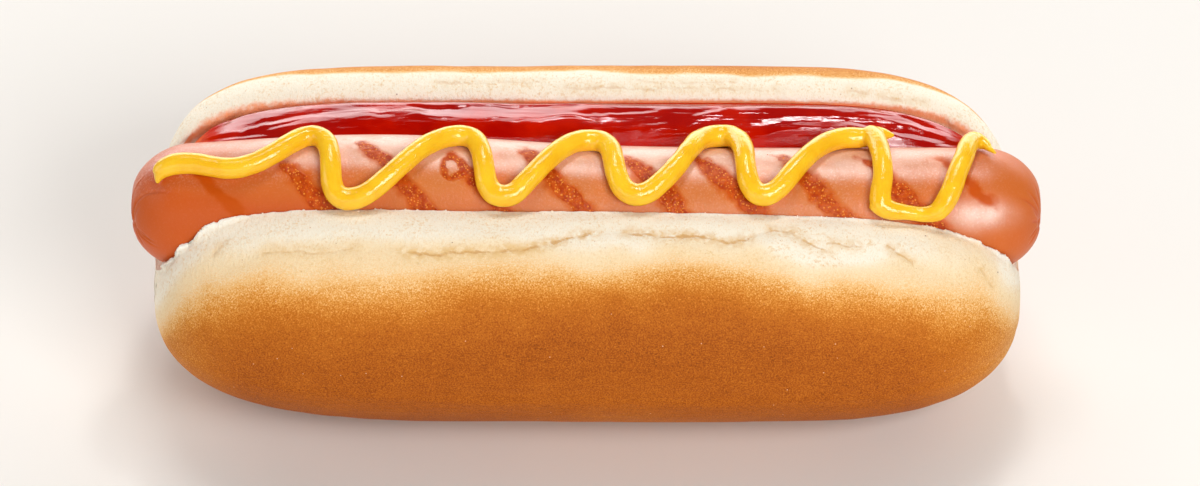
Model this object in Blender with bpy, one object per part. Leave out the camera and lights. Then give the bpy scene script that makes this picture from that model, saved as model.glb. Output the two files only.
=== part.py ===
"""A hot dog: a grilled sausage in a soft bun cut along its top, with ketchup and a piped zigzag of mustard.

The bun lies on its flat underside, with its length along X, its front towards -Y and its back towards +Y.
Sections are drawn across the bun as (across, up) pairs, measured from the axis of the sausage.
Angles round the sausage start at the back, 0 degrees, and pass over the top, 90, to the front, 180.
"""

import math

import bmesh
import bpy
import numpy as np
from mathutils import Vector
from mathutils.geometry import interpolate_bezier

# Driving dimensions, in metres
SAUSAGE_LENGTH = 0.1664
SAUSAGE_RADIUS = 0.01125
AXIS_HEIGHT = 0.0395
TOUCH_GAP = 0.0003
CRADLE_RADIUS = SAUSAGE_RADIUS + TOUCH_GAP

# How the sausage's axis rises and falls along its length
HUMP_RISE = 0.0030
HUMP_PLACE = -0.038
HUMP_SPREAD = 0.033
END_DROP = 0.0015
PUCKER_DEPTH = 0.0010
PUCKER_SPREAD = 0.0035

# The bun's outline, from the front lip round the underside to the back lip: its highest, lowest and widest
# points, and how square each quarter between them is
BUN_HALF_LENGTH = 0.0790
FRONT_LIP_FOOT = (-0.0070, 0.0030)
FRONT_TOP = (-0.0140, 0.0066)
FRONT_SIDE = (-0.0350, -0.0165)
UNDER_FRONT = (-0.0050, -0.0404)
UNDER_BACK = (0.0050, -0.0404)
BACK_SIDE = (0.0370, -0.0110)
BACK_TOP = (0.0248, 0.0096)
BACK_LIP = (0.0203, 0.0073)
FRONT_SHOULDER = 2.1
FRONT_HAUNCH = 1.52
BACK_HAUNCH = 2.05
BACK_SHOULDER = 2.2
LIP_ROUND = 2.0
FRONT_DROOP = 0.025

# The bun's ends close in on one point of the section, bluntly above and at the back, more roundly below
END_HEART = (-0.0050, -0.0203)
BUN_CLOSES_AT = 0.9996
# How each end closes in, at these directions from the heart, in degrees from the back over the top: how
# late it starts, and how blunt it is
END_DIRECTIONS = (0.0, 65.0, 112.0, 170.0, 290.0)
RIGHT_END = ((6.0, 3.8), (6.0, 3.8), (6.0, 3.8), (5.0, 2.1), (5.0, 2.1))
LEFT_END = ((6.2, 4.6), (6.2, 4.6), (6.4, 2.0), (4.7, 2.1), (4.7, 2.1))

# The cut in the bun: a cradle round the sausage that flares open to the back lip
FLARE_START = -20.0
FLARE_BEND = 1.4

# The fold along the front of the bun: places along X, and how far below the lip it runs
FOLD_LINE = (
    (-0.070, 0.0085), (-0.052, 0.0100), (-0.030, 0.0108), (-0.012, 0.0096), (0.003, 0.0058),
    (0.014, 0.0070), (0.025, 0.0082), (0.034, 0.0050), (0.045, 0.0078), (0.058, 0.0088), (0.072, 0.0090),
)
FOLD_DEPTH = 0.0009
FOLD_HALF_WIDTH = 0.0022

# The ketchup between the sausage and the back of the bun
KETCHUP_HALF_LENGTH = 0.0720
KETCHUP_GAP = 0.0006
KETCHUP_FRONT = 54.0
KETCHUP_FOOT = -2.0
KETCHUP_CROWN = 0.0020
KETCHUP_RIPPLE = 0.0003
RIPPLE_LENGTH = 0.021

# The mustard: where the bead turns, as (X, angle, run before, run after), the runs along X as on a curve
# with handles
BEAD_RADIUS = 0.0019
BEAD_LIFT = 0.0016
BEAD_TIP = 0.35
MUSTARD_TURNS = (
    (-0.0776, 110.0, 0.0, 0.0020),
    (-0.0715, 105.0, 0.0025, 0.0030),
    (-0.0630, 111.5, 0.0030, 0.0030),
    (-0.0504, 72.0, 0.0060, 0.0050),
    (-0.0429, 141.0, 0.0042, 0.0050),
    (-0.0226, 71.5, 0.0080, 0.0046),
    (-0.0152, 136.0, 0.0042, 0.0050),
    (0.0019, 69.0, 0.0082, 0.0046),
    (0.0097, 131.0, 0.0042, 0.0045),
    (0.0251, 67.0, 0.0066, 0.0046),
    (0.0326, 129.0, 0.0042, 0.0040),
    (0.0490, 67.0, 0.0090, 0.0046),
    (0.0540, 140.5, 0.0030, 0.0030),
    (0.0620, 141.0, 0.0040, 0.0030),
    (0.0688, 77.0, 0.0030, 0.0020),
    (0.0735, 81.0, 0.0018, 0.0),
)

# Faces
OUTLINE_SAMPLES = 1500
BUN_STATIONS = 44
BUN_OUTSIDE_POINTS = 35
SKIN_SPACING = ((0.0, 0.0), (0.28, 0.09), (0.84, 0.90), (1.0, 1.0))
BUN_INSIDE_POINTS = 21
SAUSAGE_SIDES = 26
SAUSAGE_RINGS = 28
KETCHUP_STATIONS = 33
BEAD_STEPS = 10
MERGE_DISTANCE = 0.00001


def finish(name, colour, roughness):
    """A plain material of one colour, given as red, green and blue."""
    material = bpy.data.materials.new(name)
    material.use_nodes = True
    shader = material.node_tree.nodes["Principled BSDF"]
    shader.inputs["Base Color"].default_value = (*colour, 1.0)
    shader.inputs["Roughness"].default_value = roughness
    shader.inputs["Metallic"].default_value = 0.0
    return material


def add_piece(mesh, material, collection):
    """Puts a mesh in the collection as an object of the same name, smooth but for its sharp edges."""
    mesh.materials.append(material)
    mesh.shade_smooth()
    mesh.set_sharp_from_angle(angle=math.radians(40))
    piece = bpy.data.objects.new(mesh.name, mesh)
    collection.objects.link(piece)
    return piece


def closed_mesh(name, bm):
    """A mesh of triangles that all face outwards."""
    bmesh.ops.triangulate(bm, faces=bm.faces)
    bmesh.ops.recalc_face_normals(bm, faces=bm.faces)
    if bm.calc_volume(signed=True) < 0:
        bmesh.ops.reverse_faces(bm, faces=bm.faces)
    mesh = bpy.data.meshes.new(name)
    bm.to_mesh(mesh)
    bm.free()
    return mesh


def loft(name, rings):
    """Joins closed rings of equal count, and closes both ends on their middles."""
    bm = bmesh.new()
    rows = [[bm.verts.new(point) for point in ring] for ring in rings]
    count = len(rows[0])
    for row, following in zip(rows, rows[1:]):
        for i in range(count):
            j = (i + 1) % count
            bm.faces.new((row[i], row[j], following[j], following[i]))
    for row in (rows[0], rows[-1]):
        middle = bm.verts.new(sum((vert.co for vert in row), Vector()) / count)
        for i in range(count):
            bm.faces.new((row[i], row[(i + 1) % count], middle))
    bmesh.ops.remove_doubles(bm, verts=bm.verts, dist=MERGE_DISTANCE)
    return closed_mesh(name, bm)


def axis_height(x):
    """How high the sausage's axis is at X."""
    hump = HUMP_RISE * np.exp(-(((x - HUMP_PLACE) / HUMP_SPREAD) ** 2))
    return AXIS_HEIGHT - END_DROP + hump


def capsule_radius(x, lift):
    """How far from the axis a point at X is that stands this far off the sausage's skin."""
    past = max(abs(x) - (SAUSAGE_LENGTH / 2 - SAUSAGE_RADIUS), 0)
    return math.sqrt(max((SAUSAGE_RADIUS + lift) ** 2 - past**2, 0))


def round_sausage(radius, degrees):
    """(across, up) of points at these angles and distances from the sausage's axis."""
    angle = np.radians(degrees)
    return np.stack([radius * np.cos(angle), radius * np.sin(angle)], axis=-1)


def quarter(level, upright, squareness, count=24):
    """A quarter of a superellipse, from the point where it runs level to the one where it runs upright."""
    turn = np.linspace(0, math.pi / 2, count)
    across = np.sin(turn) ** (2 / squareness)
    up = np.cos(turn) ** (2 / squareness)
    return np.stack(
        [level[0] + (upright[0] - level[0]) * across, upright[1] + (level[1] - upright[1]) * up], axis=1
    )


def bun_outline():
    """The bun's outline at mid-length, from inside the cut at the front round to the back lip."""
    return np.concatenate([
        quarter(FRONT_TOP, FRONT_LIP_FOOT, LIP_ROUND)[::-1],
        quarter(FRONT_TOP, FRONT_SIDE, FRONT_SHOULDER)[1:],
        quarter(UNDER_FRONT, FRONT_SIDE, FRONT_HAUNCH)[::-1][1:],
        quarter(UNDER_BACK, BACK_SIDE, BACK_HAUNCH),
        quarter(BACK_TOP, BACK_SIDE, BACK_SHOULDER)[::-1][1:],
        quarter(BACK_TOP, BACK_LIP, LIP_ROUND)[1:],
    ])


def end_scale(outward, x):
    """How far each point of the outline has closed in on the heart of the section at X."""
    falls, bluntnesses = zip(*(RIGHT_END if x > 0 else LEFT_END))
    direction = np.degrees(np.arctan2(outward[:, 1], outward[:, 0]))
    fall = np.interp(direction, END_DIRECTIONS, falls, period=360)
    bluntness = np.interp(direction, END_DIRECTIONS, bluntnesses, period=360)
    return (1 - min(abs(x) / BUN_HALF_LENGTH, 1.0) ** fall) ** (1 / bluntness)


def outline_at(x):
    """The bun's outline at X, before the cut is made."""
    outward = bun_outline() - END_HEART
    line = END_HEART + outward * end_scale(outward, x)[:, None]
    front_top = np.clip(-line[:, 0] / SAUSAGE_RADIUS, 0, 1) * np.clip(1 + line[:, 1] / AXIS_HEIGHT, 0, 1)
    line[:, 1] -= axis_height(x) - AXIS_HEIGHT + FRONT_DROOP * x * front_top
    return line


def polar(points):
    """The angles and distances of (across, up) points from the sausage's axis."""
    degrees = (np.degrees(np.arctan2(points[..., 1], points[..., 0])) - 90) % 360 - 270
    return degrees, np.hypot(points[..., 0], points[..., 1])


def cut_radius(degrees, lip):
    """How far the wall of the cut is from the sausage's axis, where the back lip is at (angle, distance)."""
    rise = np.clip((degrees - FLARE_START) / (lip[0] - FLARE_START), 0, 1)
    return CRADLE_RADIUS + (lip[1] - CRADLE_RADIUS) * rise**FLARE_BEND


def along_line(line, distances):
    """Points at these distances along a line of points."""
    steps = np.hypot(*np.diff(line, axis=0).T)
    travelled = np.concatenate([[0], np.cumsum(steps)])
    return np.stack([np.interp(distances, travelled, line[:, k]) for k in range(2)], axis=1)


def line_length(line):
    """How long a line of points is."""
    return np.hypot(*np.diff(line, axis=0).T).sum()


def bun_skin(x):
    """The part of the bun's outline at X that the cut leaves, from the front lip round to the back lip.

    Past the ends of the cut it is the whole outline, as a closed line that starts nearest the sausage.
    """
    line = outline_at(x)
    lip = polar(line[-1])
    open_lip = lip[1] > CRADLE_RADIUS and lip[0] > FLARE_START
    if not open_lip:
        line = np.concatenate([line, line[:1]])
    line = along_line(line, np.linspace(0, line_length(line), OUTLINE_SAMPLES))
    in_cut = polar(line)[1] < CRADLE_RADIUS
    if open_lip:
        return line[np.flatnonzero(in_cut)[-1] + 1 :]
    if not in_cut.any():
        nearest = np.argmin(polar(line)[1])
        return np.concatenate([line[nearest:-1], line[: nearest + 1]])
    start = np.flatnonzero(in_cut)[0]
    line = np.concatenate([line[start:-1], line[:start]])
    kept = np.flatnonzero(polar(line)[1] >= CRADLE_RADIUS)
    return line[kept[0] : kept[-1] + 1]


def fold(x, distance):
    """How deep the fold along the front sinks in, at this distance below the lip."""
    places, depths = zip(*FOLD_LINE)
    centre = np.interp(x, places, depths)
    fade = np.clip((0.076 - abs(x)) / 0.008, 0, 1)
    return FOLD_DEPTH * fade * np.exp(-(((distance - centre) / FOLD_HALF_WIDTH) ** 2))


def bun_ring(x):
    """The bun's section at X: its skin from lip to lip, then the wall of the cut back to the front."""
    skin = bun_skin(x)
    length = line_length(skin)
    distances = length * np.interp(np.linspace(0, 1, BUN_OUTSIDE_POINTS), *zip(*SKIN_SPACING))
    outside = along_line(skin, distances)
    inward = END_HEART - outside
    inward /= np.hypot(*inward.T)[:, None]
    outside = outside + inward * fold(x, distances)[:, None]
    front_lip, back_lip = polar(skin[0]), polar(skin[-1])
    degrees = np.linspace(back_lip[0], front_lip[0], BUN_INSIDE_POINTS + 2)[1:-1]
    inside = round_sausage(cut_radius(degrees, back_lip), degrees)
    if np.allclose(skin[0], skin[-1]):
        inside = np.repeat(skin[:1], BUN_INSIDE_POINTS, axis=0)
    ring = np.concatenate([outside, inside])
    height = np.maximum(ring[:, 1] + axis_height(x), 0)
    return np.stack([np.full(len(ring), x), ring[:, 0], height], axis=1)


def make_bun():
    """The bun, hinged under the sausage, closed by small caps at its tips."""
    turn = np.linspace(-1, 1, BUN_STATIONS)
    places = BUN_HALF_LENGTH * BUN_CLOSES_AT * np.sin(np.sin(turn * math.pi / 2) * math.pi / 2)
    return loft("bun", [bun_ring(x) for x in places])


def make_sausage():
    """A round sausage with rounded ends, each drawn in at its tip, bent along its axis."""
    bm = bmesh.new()
    bmesh.ops.create_uvsphere(bm, u_segments=SAUSAGE_SIDES, v_segments=SAUSAGE_RINGS, radius=1)
    cap = SAUSAGE_RADIUS * math.pi / 2
    straight = SAUSAGE_LENGTH / 2 - SAUSAGE_RADIUS
    for vert in bm.verts:
        share = math.acos(max(-1.0, min(1.0, vert.co.z))) / math.pi
        eased = share - 0.8 * math.sin(2 * math.pi * share) / (2 * math.pi)
        travelled = eased * 2 * (cap + straight)
        from_tip = min(travelled, 2 * (cap + straight) - travelled)
        side = 1 if share <= 0.5 else -1
        lean = min(from_tip / SAUSAGE_RADIUS, math.pi / 2)
        x = straight + SAUSAGE_RADIUS * math.cos(lean) - max(from_tip - cap, 0)
        x -= PUCKER_DEPTH * math.exp(-((from_tip / PUCKER_SPREAD) ** 2))
        radius = SAUSAGE_RADIUS * math.sin(lean)
        around = math.atan2(vert.co.y, vert.co.x)
        x = side * x
        vert.co = (x, radius * math.cos(around), axis_height(x) + radius * math.sin(around))
    return closed_mesh("sausage", bm)


def ketchup_ring(x):
    """The ketchup's section at X, from its front edge down the sausage, up the bun and over its crown."""
    lip = polar(bun_skin(x)[-1])
    down = np.linspace(KETCHUP_FRONT, KETCHUP_FOOT, 8)
    up = np.linspace(KETCHUP_FOOT, lip[0], 6)
    wall = cut_radius(up, lip) - KETCHUP_GAP
    start = round_sausage(wall[-1], lip[0])
    end = round_sausage(CRADLE_RADIUS, KETCHUP_FRONT)
    across = end - start
    outward = np.array([across[1], -across[0]]) / np.hypot(*across)
    share = np.linspace(0, 1, 11)[1:-1, None]
    ripple = KETCHUP_RIPPLE * np.sin(2 * math.pi * x / RIPPLE_LENGTH + 5 * share)
    crown = start + across * share + outward * 4 * share * (1 - share) * (KETCHUP_CROWN + ripple)
    degrees = np.concatenate([down, up, polar(crown)[0]])
    radius = np.concatenate([np.full(len(down), CRADLE_RADIUS), wall, polar(crown)[1]])
    fullness = (1 - min(abs(x) / KETCHUP_HALF_LENGTH, 1.0) ** 12) ** 0.5
    middle = (KETCHUP_FRONT + KETCHUP_FOOT) / 2
    ring = round_sausage(
        CRADLE_RADIUS + (radius - CRADLE_RADIUS) * fullness, middle + (degrees - middle) * fullness
    )
    return np.stack([np.full(len(ring), x), ring[:, 0], ring[:, 1] + axis_height(x)], axis=1)


def make_ketchup():
    """A line of ketchup that fills the open side of the cut up to the bun's back lip."""
    turn = np.linspace(-1, 1, KETCHUP_STATIONS)
    places = KETCHUP_HALF_LENGTH * 0.9995 * np.sin(turn * math.pi / 2)
    return loft("ketchup", [ketchup_ring(x) for x in places])


def mustard_path():
    """The middle of the mustard bead: its turns joined by curves, laid on the sausage."""
    unrolled = []
    for (x0, turn0, _, after), (x1, turn1, before, _) in zip(MUSTARD_TURNS, MUSTARD_TURNS[1:]):
        knots = ((x0, turn0), (x0 + after, turn0), (x1 - before, turn1), (x1, turn1))
        unrolled += interpolate_bezier(*map(Vector, knots), BEAD_STEPS)[:-1]
    unrolled.append(Vector(MUSTARD_TURNS[-1][:2]))
    points = []
    for x, degrees in unrolled:
        across, up = round_sausage(capsule_radius(x, BEAD_LIFT), degrees)
        points.append(Vector((x, across, axis_height(x) + up)))
    return points


def make_mustard():
    """A bead of mustard along its path, flattened where it lies on the sausage."""
    path = mustard_path()
    curve = bpy.data.curves.new("mustard_line", "CURVE")
    curve.dimensions = "3D"
    curve.bevel_depth = BEAD_RADIUS
    curve.bevel_resolution = 2
    curve.use_fill_caps = True
    spline = curve.splines.new("POLY")
    spline.points.add(len(path) - 1)
    for i, (point, place) in enumerate(zip(spline.points, path)):
        point.co = (*place, 1)
        from_end = min(2 * i, len(path) - 1 - i)
        point.radius = min(1.0, BEAD_TIP + from_end / BEAD_STEPS)
    line = bpy.data.objects.new("mustard_line", curve)
    bpy.context.scene.collection.objects.link(line)
    graph = bpy.context.evaluated_depsgraph_get()
    tube = bpy.data.meshes.new_from_object(line.evaluated_get(graph))
    bpy.data.objects.remove(line)
    bm = bmesh.new()
    bm.from_mesh(tube)
    bmesh.ops.remove_doubles(bm, verts=bm.verts, dist=MERGE_DISTANCE)
    for vert in bm.verts:
        clear = capsule_radius(vert.co.x, TOUCH_GAP)
        axis = Vector((vert.co.x, 0, axis_height(vert.co.x)))
        if (vert.co - axis).length < clear:
            vert.co = axis + (vert.co - axis).normalized() * clear
    bpy.data.meshes.remove(tube)
    return closed_mesh("mustard", bm)


def main():
    for old in list(bpy.data.objects):
        bpy.data.objects.remove(old)
    collection = bpy.data.collections.new("hot_dog")
    bpy.context.scene.collection.children.link(collection)
    add_piece(make_bun(), finish("baked_bun", (0.80, 0.48, 0.20), 0.75), collection)
    add_piece(make_sausage(), finish("grilled_sausage", (0.75, 0.25, 0.10), 0.35), collection)
    add_piece(make_ketchup(), finish("tomato_ketchup", (0.45, 0.01, 0.0), 0.15), collection)
    add_piece(make_mustard(), finish("yellow_mustard", (0.90, 0.55, 0.04), 0.25), collection)


if __name__ == "__main__":
    main()
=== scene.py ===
"""The looks of a hot dog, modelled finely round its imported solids.

Each piece repeats its solid's shape with many more faces, and adds what the solid leaves out: folds and torn
edges in the bread, creased tips and grill marks on the sausage, ridges in the ketchup and peaks in the
mustard. Crumbs and blisters lie on them.

The bun's length runs along X and its front faces -Y. Sections are drawn across it as (across, up) pairs,
measured from the axis of the sausage. Angles round the sausage start at the back, 0 degrees, and pass over
the top, 90, to the front, 180. Lengths are in metres.
"""

from __future__ import annotations

import logging
import math
from dataclasses import dataclass
from enum import Enum

import bmesh
import bpy
import numpy as np
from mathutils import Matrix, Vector

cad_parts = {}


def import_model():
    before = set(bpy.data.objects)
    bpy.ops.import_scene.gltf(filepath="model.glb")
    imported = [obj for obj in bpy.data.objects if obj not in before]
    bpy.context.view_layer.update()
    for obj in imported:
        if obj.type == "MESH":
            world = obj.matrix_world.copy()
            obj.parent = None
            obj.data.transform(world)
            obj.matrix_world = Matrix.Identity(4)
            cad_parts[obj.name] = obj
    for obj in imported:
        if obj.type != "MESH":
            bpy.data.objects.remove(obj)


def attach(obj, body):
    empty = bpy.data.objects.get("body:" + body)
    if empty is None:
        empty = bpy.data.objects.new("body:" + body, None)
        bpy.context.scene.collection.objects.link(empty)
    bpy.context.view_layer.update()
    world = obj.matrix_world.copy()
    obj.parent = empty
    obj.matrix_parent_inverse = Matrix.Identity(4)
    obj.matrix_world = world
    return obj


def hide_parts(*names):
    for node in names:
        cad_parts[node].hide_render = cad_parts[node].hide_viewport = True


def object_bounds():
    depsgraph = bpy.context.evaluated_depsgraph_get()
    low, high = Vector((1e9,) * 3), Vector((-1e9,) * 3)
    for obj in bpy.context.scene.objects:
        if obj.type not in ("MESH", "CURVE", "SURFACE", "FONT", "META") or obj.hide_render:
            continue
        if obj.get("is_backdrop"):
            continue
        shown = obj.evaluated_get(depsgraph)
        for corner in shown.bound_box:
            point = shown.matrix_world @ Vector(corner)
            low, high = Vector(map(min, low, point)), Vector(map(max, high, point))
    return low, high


LOG = logging.getLogger("hot_dog")
BODY = "root"
MERGE_DISTANCE = 0.000012
Colour = tuple[float, float, float]


# ---------------------------------------------------------------------------------------------------------
# Unevenness, outlines and lofted surfaces


@dataclass(frozen=True)
class Unevenness:
    """Smooth noise between -1 and 1 that is the same on every run.

    Attributes:
        size: how long one lump is along each axis.
        seed: which noise it is.
    """

    size: Colour
    seed: int

    def _lattice(self, cell: np.ndarray) -> np.ndarray:
        """A value between -1 and 1 for each whole-numbered cell.

        Args:
            cell: whole numbers, three to a point.

        Returns:
            One value for each point.
        """
        mixed = cell[..., 0] * 374761393 + cell[..., 1] * 668265263 + cell[..., 2] * 915488749
        mixed = (mixed + self.seed * 1274126177) & 0xFFFFFFFF
        mixed = ((mixed ^ (mixed >> 13)) * 1274126177) & 0xFFFFFFFF
        return ((mixed ^ (mixed >> 16)) & 0xFFFF) / 32767.5 - 1

    def at(self, points: np.ndarray) -> np.ndarray:
        """The noise at some points.

        Args:
            points: an array whose last axis holds three coordinates.

        Returns:
            One value for each point.
        """
        scaled = points / np.array(self.size)
        cell = np.floor(scaled).astype(np.int64)
        eased = scaled - cell
        eased = eased * eased * (3 - 2 * eased)
        total = np.zeros(points.shape[:-1])
        for corner in np.ndindex(2, 2, 2):
            share = np.prod(np.where(np.array(corner) == 1, eased, 1 - eased), axis=-1)
            total += share * self._lattice(cell + np.array(corner))
        return total


def flat_place(first: np.ndarray, second: np.ndarray) -> np.ndarray:
    """Points of an unrolled surface, as unevenness reads them.

    Args:
        first: the first coordinate of each point.
        second: the second coordinate of each point.

    Returns:
        The points, with a third coordinate of nothing.
    """
    return np.stack([first, second, np.zeros_like(first)], axis=-1)


def bell(distance: np.ndarray, width: float | np.ndarray) -> np.ndarray:
    """A smooth hump, 1 at no distance and falling away over a width."""
    return np.exp(-((distance / width) ** 2))


def ease(value: np.ndarray, low: float, high: float) -> np.ndarray:
    """A smooth step from 0 at low to 1 at high."""
    share = np.clip((value - low) / (high - low), 0, 1)
    return share * share * (3 - 2 * share)


def along_line(line: np.ndarray, distances: np.ndarray) -> np.ndarray:
    """Points at given distances along a line of points.

    Args:
        line: the points of the line, in two coordinates.
        distances: how far along each wanted point is.

    Returns:
        One point for each distance.
    """
    travelled = np.concatenate([[0], np.cumsum(np.hypot(*np.diff(line, axis=0).T))])
    return np.stack([np.interp(distances, travelled, line[:, k]) for k in range(2)], axis=1)


def smooth_through(points: np.ndarray, steps: int) -> np.ndarray:
    """A smooth curve that runs through points.

    Args:
        points: the points, one a row, spaced by their first two coordinates.
        steps: how many pieces each stretch between two points is cut into.

    Returns:
        The curve's points.
    """
    time = np.concatenate([[0], np.cumsum(np.hypot(*np.diff(points[:, :2], axis=0).T) ** 0.5)])
    slope = np.gradient(points, time, axis=0)
    wanted = np.linspace(0, time[-1], steps * (len(points) - 1) + 1)
    before = np.clip(np.searchsorted(time, wanted, side="right") - 1, 0, len(points) - 2)
    span = (time[before + 1] - time[before])[:, None]
    share = (wanted - time[before])[:, None] / span
    blend = share * share * (3 - 2 * share)
    lean = share * (1 - share) ** 2 * slope[before] - share**2 * (1 - share) * slope[before + 1]
    return points[before] * (1 - blend) + points[before + 1] * blend + span * lean


def line_length(line: np.ndarray) -> float:
    """How long a line of points is."""
    return float(np.hypot(*np.diff(line, axis=0).T).sum())


def polar(points: np.ndarray) -> tuple[np.ndarray, np.ndarray]:
    """The angles, in degrees, and the distances of (across, up) points from the sausage's axis."""
    degrees = (np.degrees(np.arctan2(points[..., 1], points[..., 0])) - 90) % 360 - 270
    return degrees, np.hypot(points[..., 0], points[..., 1])


def round_sausage(radius: np.ndarray | float, degrees: np.ndarray | float) -> np.ndarray:
    """(across, up) of points at these angles and distances from the sausage's axis."""
    angle = np.radians(degrees)
    return np.stack([radius * np.cos(angle), radius * np.sin(angle)], axis=-1)


def stroke_distance(first: np.ndarray, second: np.ndarray, line: tuple) -> tuple[np.ndarray, np.ndarray]:
    """How far places on an unrolled surface are from a drawn stroke.

    Args:
        first: the places' first coordinate.
        second: the places' second coordinate.
        line: the stroke's points, as pairs.

    Returns:
        The distance to the stroke, and how far along it the nearest point is, from 0 to 1.
    """
    nearest = np.full(first.shape, np.inf)
    along = np.zeros(first.shape)
    for i, ((ax, ay), (bx, by)) in enumerate(zip(line, line[1:])):
        dx, dy = bx - ax, by - ay
        share = np.clip(((first - ax) * dx + (second - ay) * dy) / (dx * dx + dy * dy), 0, 1)
        distance = np.hypot(first - ax - share * dx, second - ay - share * dy)
        closer = distance < nearest
        nearest = np.where(closer, distance, nearest)
        along = np.where(closer, (i + share) / (len(line) - 1), along)
    return nearest, along


class Surface:
    """Rings of points that are pushed along their normals and then lofted into a closed mesh."""

    def __init__(self, points: np.ndarray) -> None:
        """Keeps the rings.

        Args:
            points: ring by ring, the points of closed rings of equal count.
        """
        self.points = points
        self.values: dict[str, np.ndarray] = {}

    def normals(self) -> np.ndarray:
        """The outward normal at each point."""
        along = np.gradient(self.points, axis=0)
        around = (np.roll(self.points, -1, axis=1) - np.roll(self.points, 1, axis=1)) / 2
        normal = np.cross(around, along)
        length = np.linalg.norm(normal, axis=-1, keepdims=True)
        normal = np.divide(normal, length, out=np.zeros_like(normal), where=length > 1e-14)
        middle = self.points.mean(axis=1, keepdims=True)
        outward = np.sum(normal * (self.points - middle), axis=-1).sum()
        return normal if outward > 0 else -normal

    def push(self, height: np.ndarray) -> None:
        """Moves each point along its normal."""
        self.points = self.points + self.normals() * height[..., None]

    def mesh(self, name: str) -> bpy.types.Mesh:
        """Lofts the rings, closes both ends on their middles and stores the values on the points.

        Args:
            name: what to call the mesh.

        Returns:
            A closed, smooth mesh whose faces point outwards.
        """
        rings, count = self.points.shape[:2]
        middles = [self.points[0].mean(axis=0), self.points[-1].mean(axis=0)]
        vertices = np.concatenate([self.points.reshape(-1, 3), middles])
        index = np.arange(rings * count).reshape(rings, count)
        following = np.roll(index, -1, axis=1)
        walls = np.stack([index[:-1], following[:-1], following[1:], index[1:]], axis=-1).reshape(-1, 4)
        caps = [
            np.stack([following[end], index[end], np.full(count, rings * count + k)], axis=-1)
            for k, end in enumerate((0, -1))
        ]
        mesh = bpy.data.meshes.new(name)
        mesh.from_pydata(vertices, [], [*walls.tolist(), *caps[0].tolist(), *caps[1].tolist()])
        for label, values in self.values.items():
            ends = [values[0].mean(), values[-1].mean()]
            attribute = mesh.attributes.new(label, "FLOAT", "POINT")
            attribute.data.foreach_set("value", np.concatenate([values.reshape(-1), ends]).astype(np.float32))
        return closed(mesh)


def closed(mesh: bpy.types.Mesh) -> bpy.types.Mesh:
    """Merges points that coincide, drops flat faces and turns every face outwards.

    Args:
        mesh: the mesh, which is changed.

    Returns:
        The same mesh.
    """
    bm = bmesh.new()
    bm.from_mesh(mesh)
    bmesh.ops.remove_doubles(bm, verts=bm.verts, dist=MERGE_DISTANCE)
    bmesh.ops.dissolve_degenerate(bm, edges=bm.edges, dist=MERGE_DISTANCE / 4)
    bmesh.ops.recalc_face_normals(bm, faces=bm.faces)
    if bm.calc_volume(signed=True) < 0:
        bmesh.ops.reverse_faces(bm, faces=bm.faces)
    bm.to_mesh(mesh)
    bm.free()
    mesh.shade_smooth()
    return mesh


def add_piece(mesh: bpy.types.Mesh, material: bpy.types.Material) -> bpy.types.Object:
    """Puts a mesh in the scene as a piece of the same name.

    Args:
        mesh: the finished mesh, in place.
        material: the piece's only material.

    Returns:
        The new object, at the origin.
    """
    mesh.materials.clear()
    mesh.materials.append(material)
    piece = bpy.data.objects.new(mesh.name, mesh)
    bpy.context.scene.collection.objects.link(piece)
    return piece


# ---------------------------------------------------------------------------------------------------------
# Shader trees


class Value:
    """A number socket of a shader tree. Python's operators on it add Math nodes."""

    def __init__(self, shader: Shader, socket: bpy.types.NodeSocket) -> None:
        """Wraps a socket of the shader's tree."""
        self.shader = shader
        self.socket = socket

    def _math(self, operation: str, *numbers: Value | float) -> Value:
        """A Math node on these numbers."""
        node = self.shader.add("ShaderNodeMath", {"operation": operation}, dict(enumerate(numbers)))
        return Value(self.shader, node.outputs[0])

    def __add__(self, other: Value | float) -> Value:
        """The sum."""
        return self._math("ADD", self, other)

    def __radd__(self, other: float) -> Value:
        """The sum, with the number first."""
        return self._math("ADD", other, self)

    def __sub__(self, other: Value | float) -> Value:
        """The difference."""
        return self._math("SUBTRACT", self, other)

    def __rsub__(self, other: float) -> Value:
        """The difference, with the number first."""
        return self._math("SUBTRACT", other, self)

    def __mul__(self, other: Value | float) -> Value:
        """The product."""
        return self._math("MULTIPLY", self, other)

    def __rmul__(self, other: float) -> Value:
        """The product, with the number first."""
        return self._math("MULTIPLY", other, self)

    def __pow__(self, other: Value | float) -> Value:
        """The power."""
        return self._math("POWER", self, other)

    def step(self, low: float, high: float) -> Value:
        """A smooth step from 0 at low to 1 at high.

        Args:
            low: the value that gives 0.
            high: the value that gives 1, which may be the lower of the two.

        Returns:
            The step.
        """
        node = self.shader.add(
            "ShaderNodeMapRange",
            {"interpolation_type": "SMOOTHSTEP"},
            {"Value": self, "From Min": low, "From Max": high},
        )
        return Value(self.shader, node.outputs["Result"])


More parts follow.
